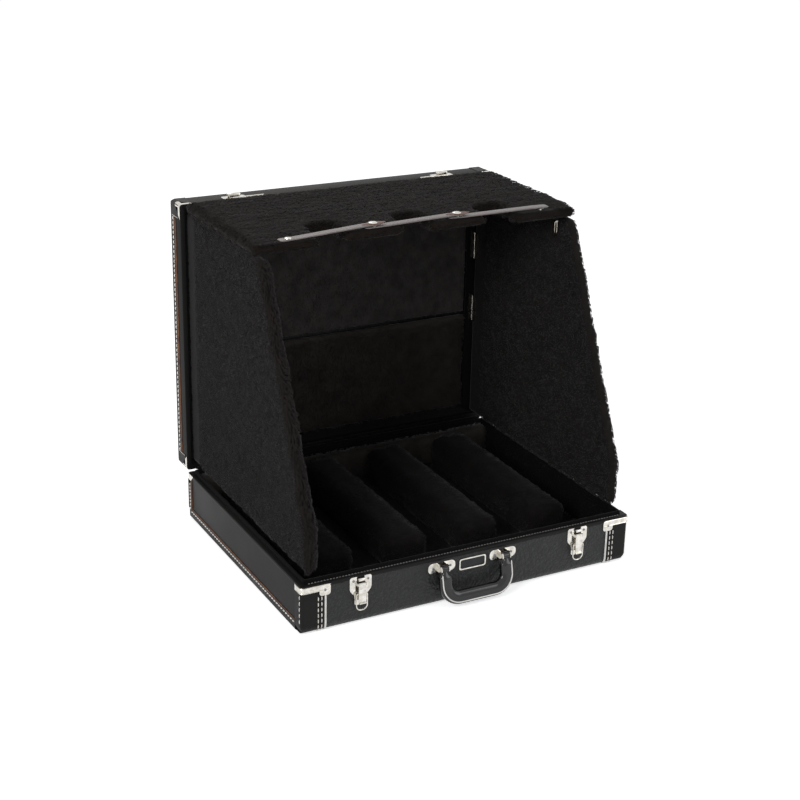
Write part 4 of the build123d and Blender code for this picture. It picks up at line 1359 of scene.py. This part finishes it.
@dataclass(frozen=True)
class Lid:
    """The vinyl-covered lid with its corner leathers, stitches and piping."""

    half_x: float = 320.0
    low: float = 93.5
    high: float = 601.5
    front: float = 257.5
    back: float = 307.5
    wall: float = 9.0
    board: float = 5.0
    edge: float = 7.0
    corner: float = 5.0
    leather: float = 1.0
    patch: float = 27.0
    band_y: float = 284.5
    stitch_y: float = 289.5
    piping_y: float = 281.8
    piping_radius: float = 1.8
    patch_row: tuple[float, float] = (266.5, 296.0)
    side_sewing: Sewing = Sewing(8.9, 6.8, 1.7)
    patch_sewing: Sewing = Sewing(4.6, 3.6, 0.7)

    def outline(self, inset: float, y: float) -> Array:
        """Draw the lid's outline.

        Args:
            inset: how far it is drawn in all round.
            y: its depth.

        Returns:
            The outline's points.
        """
        radius = max(self.corner - 0.3 * inset, 1.2)
        pairs = rounded(self.half_x - inset, (self.high - self.low) / 2 - inset, radius)
        middle = (self.high + self.low) / 2
        return np.column_stack([pairs[:, 0], np.full(len(pairs), y), pairs[:, 1] + middle])

    def cover(self) -> Shape:
        """Skin the lid: back, rolled edge, walls, rolled rim, inside.

        Returns:
            One continuous closed skin.
        """
        roll = np.radians(np.linspace(0, 90, 8))
        levels = [(self.edge * (1 - math.sin(t)), self.back - self.edge * (1 - math.cos(t))) for t in roll]
        rim = 1.4
        levels += [(0.0, self.front + rim), (rim * 0.3, self.front + rim * 0.3), (rim, self.front)]
        levels += [(self.wall - 0.4, self.front), (self.wall, self.front + 0.4)]
        levels += [(self.wall, self.back - self.board)]
        return loft(np.stack([self.outline(*level) for level in levels]))

    def corner_leather(self, up: float) -> Shape:
        """Make a hide patch over a back corner on the left.

        An L round the corner is carried from near the lid's front over the rolled edge.

        Args:
            up: 1 for the top corner and -1 for the bottom one.

        Returns:
            The patch as a closed sheet.
        """
        roll = np.radians(np.linspace(0, 80, 7))
        insets = np.concatenate([[0.0], self.edge * (1 - np.cos(roll))])
        depths = np.concatenate([[self.front + 8], self.back - self.edge + self.edge * np.sin(roll)])
        wall_z = self.high if up > 0 else self.low
        sheets = []
        for grow in (self.leather, 0.0):
            rows = []
            for inset, depth, turn in zip(insets, depths, np.concatenate([[0.0], roll])):
                out = grow * math.cos(turn) - inset
                arm = self.patch - inset
                x = -self.half_x - out
                z = wall_z + up * out
                ends = np.array([[x, 0, z - up * arm], [x, 0, z], [x + arm, 0, z]])
                line = even(bent(ends, self.corner * 0.8 + grow, 4), 4.0)
                rows.append(line + [0, depth + grow * math.sin(turn), 0])
            count = min(len(row) for row in rows)
            sheets.append(np.stack([picked(row, count) for row in rows]))
        columns = min(sheet.shape[1] for sheet in sheets)
        return slab(*(picked(sheet, columns, 1) for sheet in sheets))

    def build(self) -> None:
        """Make the cover, the bindings and corner patches, the stitches and the piping."""
        parts = ("top_wall", "bottom_wall", "left_wall", "right_wall", "back_board")
        walls = [f"lid_{part}" for part in parts]
        put("lid_cover", self.cover(), VINYL, "lid", Slot.BOARD, walls)
        patches = together([self.corner_leather(1.0), self.corner_leather(-1.0), self.back_band()])
        put("lid_leathers", both_sides(patches), LEATHER, "lid", Slot.LEATHER)
        face = -self.half_x - self.leather
        low, high = self.low + self.patch, self.high - self.patch
        row = np.array([[face, self.stitch_y, high + 1], [face, self.stitch_y, low - 1]])
        rows = [stitches(row, -Y, self.side_sewing)]
        near, far = self.patch_row
        for z in (high + 1.6, low - 1.6):
            rows.append(stitches(np.array([[face, near, z], [face, far, z]]), -Z, self.patch_sewing))
        put("lid_stitches", both_sides(together(rows)), THREAD, "lid", Slot.LEATHER)
        x = -self.half_x - 0.4
        line = np.array([[x, self.piping_y, high], [x, self.piping_y, low]])
        piping = both_sides(cord(even(line, 8), self.piping_radius, Y, 8))
        put("lid_side_piping", piping, RUST_CORD, "lid", Slot.PIPING)

    def back_band(self) -> Shape:
        """Make the binding on the left side's back edge, wrapped over the rolled edge.

        Returns:
            The closed sheet.
        """
        roll = np.radians(np.linspace(0, 80, 7))
        levels = np.linspace(self.low + self.patch, self.high - self.patch, 12)
        sheets = []
        for grow in (self.leather, 0.0):
            x = -self.half_x + self.edge - (self.edge + grow) * np.cos(roll)
            y = self.back - self.edge + (self.edge + grow) * np.sin(roll)
            x, y = np.concatenate([x[:1], x]), np.concatenate([[self.band_y], y])
            sheets.append(np.stack([np.column_stack([x, y, np.full(len(x), z)]) for z in levels]))
        return slab(*sheets)


# Hardware


@dataclass(frozen=True)
class CarryHandle:
    """The moulded grip with its edge line, hung on two plated mounts."""

    half_span: float = 60.0
    pivot_y: float = -264.0
    pivot_z: float = 71.0
    drop: float = 66.0
    lean: float = 13.0
    width: float = 24.0
    thickness: float = 15.0
    bend: float = 25.0
    step: float = 2.5
    neck: tuple[float, float] = (0.46, 0.62)
    edge_inset: float = 4.5
    edge_radius: float = 1.15

    def hung(self, pairs: Array) -> Array:
        """Put (across, up) pairs into the leaning plane of the handle.

        Args:
            pairs: places from the middle between the pivots.

        Returns:
            The points.
        """
        tilt = math.radians(self.lean)
        y = self.pivot_y + pairs[:, 1] * math.sin(tilt)
        z = self.pivot_z + pairs[:, 1] * math.cos(tilt)
        return np.column_stack([pairs[:, 0], y, z])

    def line(self, offset: float, top: float) -> Array:
        """Draw the U-shaped line of the grip.

        Args:
            offset: how far it lies outside the grip's middle line.
            top: how far above the pivots it starts.

        Returns:
            The points, a step of 2.5 mm apart.
        """
        side = self.half_span + offset
        foot = -self.drop + self.width / 2 - offset
        flat = np.array([[-side, top, 0], [-side, foot, 0], [side, foot, 0], [side, top, 0]])
        return even(self.hung(bent(flat, self.bend + offset, 10)[:, :2]), self.step)

    def build(self) -> None:
        """Make the grip, its barrels and its edge line, and dress the mounts.

        Within 11 mm of its ends the grip thins to neck times its size, by g^2 (3 - 2 g).
        """
        path = self.line(0.0, -4.0)
        run = np.linspace(0, 1, len(path))
        near = np.minimum(run, 1 - run) * len(path) * self.step
        grown = np.clip((near - 3) / 8, 0, 1)
        grown = grown * grown * (3 - 2 * grown)
        scale = np.stack([small + (1 - small) * grown for small in self.neck], axis=-1)
        scale[[0, -1]] *= 0.8
        tilt = math.radians(self.lean)
        over = np.array([0.0, -math.cos(tilt), math.sin(tilt)])
        grip = carried(path, oval(self.width / 2, self.thickness / 2, 24, 2.6), over, scale)
        barrels = []
        for side in SIDES.values():
            profile = [(2.2, -6.0), (5.6, -6.0), (6.4, -5.2), (6.4, 5.2), (5.6, 6.0), (2.2, 6.0)]
            centre = np.array([side * self.half_span, self.pivot_y, self.pivot_z])
            barrels.append(turned(profile, centre, X, 18))
        put("handle_moulding", together([grip, *barrels]), GRIP, "handle", Slot.GRIP, ["handle_grip"])
        edge = self.line(self.width / 2 - self.edge_inset, -9.0) + over * (self.thickness / 2 - 0.7)
        put("handle_edge_line", cord(edge, self.edge_radius, over, 6), CORD, "handle", Slot.PIPING)
        dress(NICKEL, "handle_mounts", "handle_pins")


@dataclass(frozen=True)
class DrawLatches:
    """The two draw latches: plates, levers and wire loops, and their keepers on the lid."""

    offset: float = 213.0
    pivot_y: float = -260.2
    loop_z: float = 58.0
    loop_foot: float = 28.0
    loop_half: float = 10.0
    wire: float = 1.2
    tongue_at: tuple[float, float] = (-257.6, 82.5)
    hook_at: tuple[float, float] = (271.0, 606.4)

    def loop(self, x: float) -> Shape:
        """Bend the closed wire, straight at the top and bowed below.

        Args:
            x: the middle of the latch.

        Returns:
            The wire.
        """
        y, half, top, low = self.pivot_y, self.loop_half, self.loop_z, self.loop_foot
        corners = np.array([[x, y, top], [x + half, y, top], [x + half, y, low], [x - half, y, low]])
        corners = np.concatenate([corners, [[x - half, y, top], [x, y, top]]])
        first, bow, last = bent(corners[:3], 2.5, 4), bent(corners[1:5], 9.0, 8), bent(corners[3:], 2.5, 4)
        return cord(np.concatenate([first[:-1], bow[1:-1], last[1:-1]]), self.wire, Y, 8, joined=True)

    def tongue(self, x: float) -> Shape:
        """Curl the tongue that stands in the plate's notch, on an arc about tongue_at.

        Args:
            x: the middle of the latch.

        Returns:
            The tongue.
        """
        turn = np.radians(np.linspace(-60, 200, 12))
        y, z = self.tongue_at
        path = np.column_stack([np.full(12, x), y - 2.2 * np.cos(turn), z + 2.6 * np.sin(turn)])
        return carried(path, rounded(0.45, 5.4, 0.4, 2), X + 1e-3)

    def hook(self, x: float) -> Shape:
        """Curl the lip of a keeper: a strip bent over three quarters of a turn about hook_at.

        Args:
            x: the middle of the latch.

        Returns:
            The lip.
        """
        turn = np.radians(np.linspace(-80, 190, 16))
        y, z = self.hook_at
        path = np.column_stack([np.full(16, x), y - 3.4 * np.cos(turn), z + 3.4 * np.sin(turn)])
        return carried(path, rounded(0.5, 12.0, 0.4, 2), X + 1e-3)

    def build(self) -> None:
        """Make the wires, the tongues and the keepers' hooks, and dress the rest."""
        for hand, side in SIDES.items():
            x = side * self.offset
            node = f"latch_loop_{hand}"
            put(f"latch_wire_{hand}", self.loop(x), NICKEL, f"loop_{hand}", Slot.NICKEL, [node])
            dress(NICKEL, f"latch_lever_{hand}")
        put("latch_tongues", both_sides(self.tongue(-self.offset)), NICKEL, "base", Slot.NICKEL)
        put("keeper_hooks", both_sides(self.hook(-self.offset)), NICKEL, "lid", Slot.NICKEL)
        dress(NICKEL, "latch_plates", "latch_pins", "lid_keepers")


@dataclass(frozen=True)
class NeckStraps:
    """The strap in three lengths, each turning on one stud and snapped over the next."""

    stud_x: tuple[float, ...] = (-243.0, -81.0, 81.0, 243.0)
    stud_y: tuple[float, ...] = (-35.0, -21.0, -21.0, -35.0)
    panel_top: float = 605.3
    low: float = 607.4
    high: float = 611.6
    half_width: float = 8.5
    thick: float = 2.2
    tail: float = 17.0
    heel: float = 13.0
    flat: float = 14.0
    tab_reach: float = 23.0
    tab_half: float = 9.5

    def strap(self, start: Array, end: Array) -> tuple[Shape, Array]:
        """Make one length of strap, which rises evenly from low to high between the studs.

        Args:
            start: the stud that it turns on.
            end: the stud that it is snapped over.

        Returns:
            The strap and its direction.
        """
        run = float(np.linalg.norm(end - start))
        along = (end - start) / run
        s = np.linspace(-self.tail, run + self.heel, 60)
        z = self.low + (self.high - self.low) * np.clip((s - self.flat) / (run - 2 * self.flat), 0, 1)
        path = np.column_stack([start + s[:, None] * along, z])
        ends = np.minimum(s + self.tail, run + self.heel - s)
        width = np.sqrt(np.clip(1 - (1 - np.clip(ends / 9, 0.03, 1)) ** 2, 0, 1)) * 0.35 + 0.65
        scale = np.stack([width, np.where(ends < 0.5, 0.5, 1.0)], axis=-1)
        return carried(path, rounded(self.half_width, self.thick / 2, 0.7, 3), Z, scale), along

    def build(self) -> None:
        """Make the studs, and each strap with its cap and, on the two inner studs, its hide tab."""
        studs = [np.array(pair) for pair in zip(self.stud_x, self.stud_y)]
        dome = [(2.2, 3.2), (6.0, 3.2), (6.3, 3.6), (5.9, 4.4), (4.4, 4.9), (1.6, 5.1), (0.3, 5.1)]
        post = [(0.3, -0.2), (3.0, -0.2), (3.0, 0.4), (2.4, 0.8)] + dome
        heads = [turned(post, np.array([*stud, self.panel_top]), Z) for stud in studs]
        put("stud_turnings", together(heads), NICKEL, "top_panel", Slot.NICKEL, ["strap_studs"])
        brim = [(0.3, 0.0), (5.2, 0.0), (5.2, 0.7), (7.6, 0.9), (8.0, 1.4)]
        cap = brim + [(7.3, 2.3), (4.8, 3.0), (1.8, 3.3), (0.3, 3.3)]
        top = self.high + self.thick / 2 - 0.1
        for name, start, end in zip(("left", "middle", "right"), studs, studs[1:]):
            body = f"strap_{name}"
            leather, along = self.strap(start, end)
            put(f"{body}_leather", leather, STRAP, body, Slot.STRAP, [body])
            if name != "right":
                put(f"{body}_cap", turned(cap, np.array([*end, top]), Z), NICKEL, body, Slot.NICKEL)
                self.tab(body, end, along, top)

    def tab(self, body: str, at: Array, along: Array, z: float) -> None:
        """Put a lens-shaped hide tab under a cap: its half width is tab_half (1 - s^2).

        Args:
            body: the strap that it rides on.
            at: the stud.
            along: the strap's direction.
            z: its height.
        """
        s = np.linspace(-1, 1, 21)
        path = np.column_stack([at + (2.5 + self.tab_reach * s[:, None]) * along, np.full(21, z)])
        scale = np.stack([np.clip(1 - s**2, 0.06, 1), np.ones(21)], axis=-1)
        lens = carried(path, rounded(self.tab_half, 0.6, 0.4, 2), Z, scale)
        put(f"{body}_tab", lens, TAN, body, Slot.LEATHER)


@dataclass(frozen=True)
class Fittings:
    """Corner strips, caps, hinges, catches, screws and the blank badge."""

    badge_z: float = 67.0
    hinges: tuple[str, ...] = (
        "base_hinge", "lid_hinge", "wing_left", "wing_right", "wing_frame", "panel_frame", "panel",
    )

    def screws(self) -> Shape:
        """Turn domed heads with a sunk middle, where the CAD has its screw heads.

        Returns:
            All the heads.
        """
        hands = SIDES.values()
        places = [(x + side * 16.5, 71.0, -255.5) for x in (-60.0, 60.0) for side in hands]
        places += [(x + side * 13.5, 81.25, -255.4) for x in (-213.0, 213.0) for side in hands]
        places += [(side * 278.0, 78.0, -256.0) for side in hands]
        dome = [(0.2, 0.0), (2.4, 0.0), (2.3, 0.5), (1.7, 1.0), (1.0, 1.15), (0.8, 0.35), (0.2, 0.3)]
        return together(turned(dome, np.array([x, y, z]), -Y, 12) for x, z, y in places)

    def beads(self) -> Shape:
        """Raise a line along both edges of the left corner strip.

        Returns:
            Both lines.
        """
        lines = []
        for z in (78.0, 87.2):
            corners = np.array([[-268.5, -256.2, z], [-322.2, -256.2, z], [-322.2, -232.6, z]])
            lines.append(cord(even(bent(corners, 6.5, 6), 2.5), 0.55, Z, 6))
        return together(lines)

    def field(self) -> Shape:
        """Make the blank field inside the badge's frame, its front edge drawn in.

        Returns:
            The closed plate.
        """
        pairs = rounded(23.6, 8.1, 2.6)
        rings = []
        for share, y in ((1.0, -255.3), (1.0, -255.75), (0.985, -255.9)):
            x, z = pairs.T * share
            rings.append(np.column_stack([x, np.full(len(x), y), z + self.badge_z]))
        return loft(np.stack(rings))

    def build(self) -> None:
        """Make the screws, beads and badge field, and dress the CAD's own fittings."""
        put("screw_heads", self.screws(), ZINC, "base", Slot.STEEL, ["front_screws"])
        put("corner_beads", both_sides(self.beads()), NICKEL, "base", Slot.NICKEL)
        put("badge_field", self.field(), FIELD, "base", Slot.BADGE)
        dress(NICKEL, "badge_plate", "front_corners", "rear_caps", "lid_caps", "panel_keepers")
        dress(NICKEL, *(f"catch_{part}_{hand}" for part in ("plate", "lever") for hand in SIDES))
        dress(NICKEL, *(f"{place}_leaves" for place in self.hinges))
        dress(ZINC, "lid_hinge_pins", "wing_hinge_pins", "panel_hinge_pins")


# Studio


@dataclass(frozen=True)
class Studio:
    """Camera, floor, lamps and the pale surroundings."""

    eye: tuple[float, float, float] = (-1.2986, -2.4013, 1.3457)
    yaw: float = 28.215
    pitch: float = 21.458
    roll: float = 1.272
    focal_pixels: float = 1640.0
    frame_pixels: float = 800.0
    sensor: float = 36.0
    world_light: float = 0.5
    floor_glow: float = 0.6

    def camera(self) -> None:
        """Place the camera where the pinhole fit of the photograph put it."""
        yaw, pitch, roll = (math.radians(angle) for angle in (self.yaw, self.pitch, self.roll))
        look = np.array([math.sin(yaw) * math.cos(pitch), math.cos(yaw) * math.cos(pitch), -math.sin(pitch)])
        right = np.array([math.cos(yaw), -math.sin(yaw), 0.0])
        up = np.cross(right, look)
        x_axis = math.cos(roll) * right + math.sin(roll) * up
        y_axis = -math.sin(roll) * right + math.cos(roll) * up
        data = bpy.data.cameras.new("camera")
        data.sensor_width = self.sensor
        data.lens = self.focal_pixels / self.frame_pixels * self.sensor
        data.clip_end = 100
        camera = bpy.data.objects.new("camera", data)
        bpy.context.scene.collection.objects.link(camera)
        columns = np.column_stack([x_axis, y_axis, -look, self.eye])
        camera.matrix_world = Matrix([*columns.tolist(), [0, 0, 0, 1]])
        bpy.context.scene.camera = camera

    def seen(self, tree: bpy.types.NodeTree) -> bpy.types.NodeSocket:
        """Tell rays from the camera, a mirror or a clear surface from the rest.

        Args:
            tree: the tree that gets the nodes.

        Returns:
            A socket that gives 1 for them and 0 for the rest.
        """
        rays = wire(tree, "ShaderNodeLightPath", {}).outputs
        direct = {0: rays["Is Camera Ray"], 1: rays["Is Glossy Ray"]}
        two = wire(tree, "ShaderNodeMath", direct, operation="MAXIMUM")
        clear = {0: two.outputs[0], 1: rays["Is Transmission Ray"]}
        return wire(tree, "ShaderNodeMath", clear, operation="MAXIMUM").outputs[0]

    def surroundings(self) -> None:
        """Make a white world for the eye and a soft grey one for the light."""
        world = bpy.data.worlds.new("studio")
        world.use_nodes = True
        tree = world.node_tree
        tree.nodes.clear()
        lit = wire(tree, "ShaderNodeBackground", {"Color": linear("#f4f6fa"), "Strength": self.world_light})
        pale = wire(tree, "ShaderNodeBackground", {"Color": (1, 1, 1, 1), "Strength": 1.0})
        mix = wire(tree, "ShaderNodeMixShader", {0: self.seen(tree), 1: lit.outputs[0], 2: pale.outputs[0]})
        wire(tree, "ShaderNodeOutputWorld", {"Surface": mix.outputs[0]})
        bpy.context.scene.world = world

    def floor(self) -> None:
        """Lay a wide pale floor that glows a little for the camera and keeps the shadow."""
        material = bpy.data.materials.new("painted studio floor")
        material.use_nodes = True
        tree = material.node_tree
        tree.nodes.clear()
        paint = wire(tree, "ShaderNodeBsdfDiffuse", {"Color": linear("#f2f2f2")})
        glow = wire(tree, "ShaderNodeMath", {0: self.seen(tree), 1: self.floor_glow}, operation="MULTIPLY")
        lamp = wire(tree, "ShaderNodeEmission", {"Color": (1, 1, 1, 1), "Strength": glow.outputs[0]})
        both = wire(tree, "ShaderNodeAddShader", {0: paint.outputs[0], 1: lamp.outputs[0]})
        wire(tree, "ShaderNodeOutputMaterial", {"Surface": both.outputs[0]})
        mesh = bpy.data.meshes.new("floor")
        half = 30.0
        corners = [(-half, -half, 0), (half, -half, 0), (half, half, 0), (-half, half, 0)]
        mesh.from_pydata(corners, [], [[0, 1, 2, 3]])
        mesh.materials.append(material)
        piece = bpy.data.objects.new("floor", mesh)
        bpy.context.scene.collection.objects.link(piece)
        piece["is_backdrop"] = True

    def lamp(
        self, name: str, spot: tuple[float, float, float], size: float, power: float, tint: str = "#ffffff"
    ) -> None:
        """Hang a soft square lamp that looks at the middle of the object.

        Args:
            name: the lamp's name.
            spot: its place in metres.
            size: its side in metres.
            power: in watts.
            tint: its colour as a hex value.
        """
        data = bpy.data.lights.new(name, "AREA")
        data.shape = "SQUARE"
        data.size = size
        data.energy = power
        data.color = linear(tint)[:3]
        lamp = bpy.data.objects.new(name, data)
        bpy.context.scene.collection.objects.link(lamp)
        away = unit(np.array(spot) - [0, 0, 0.3])
        side = unit(np.cross(Z, away))
        columns = np.column_stack([side, np.cross(away, side), away, spot])
        lamp.matrix_world = Matrix([*columns.tolist(), [0, 0, 0, 1]])

    def build(self) -> None:
        """Set up the whole studio."""
        self.camera()
        self.surroundings()
        self.floor()
        self.lamp("key", (-2.6, -1.6, 1.9), 1.4, 48)
        self.lamp("fill", (2.2, -2.4, 1.5), 1.8, 22)
        self.lamp("back", (0.3, 2.2, 2.6), 0.7, 14, "#fff0e4")
        bpy.context.scene.view_settings.view_transform = "Standard"


def write_sizes() -> None:
    """Set the CAD box and the box of the dressed object beside each other, in a table that is not kept."""
    boxes = {"cad": CAD_BOX, "visual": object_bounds()}
    {name: [list(corner) for corner in box] for name, box in boxes.items()}


def main() -> None:
    """Build the studio and every sub-assembly in order."""
    logging.basicConfig(level=logging.INFO)
    for part in (Studio, Upholstery, Tray, Lid, CarryHandle, DrawLatches, NeckStraps, Fittings):
        part().build()
    write_sizes()


if __name__ == "__main__":
    main()
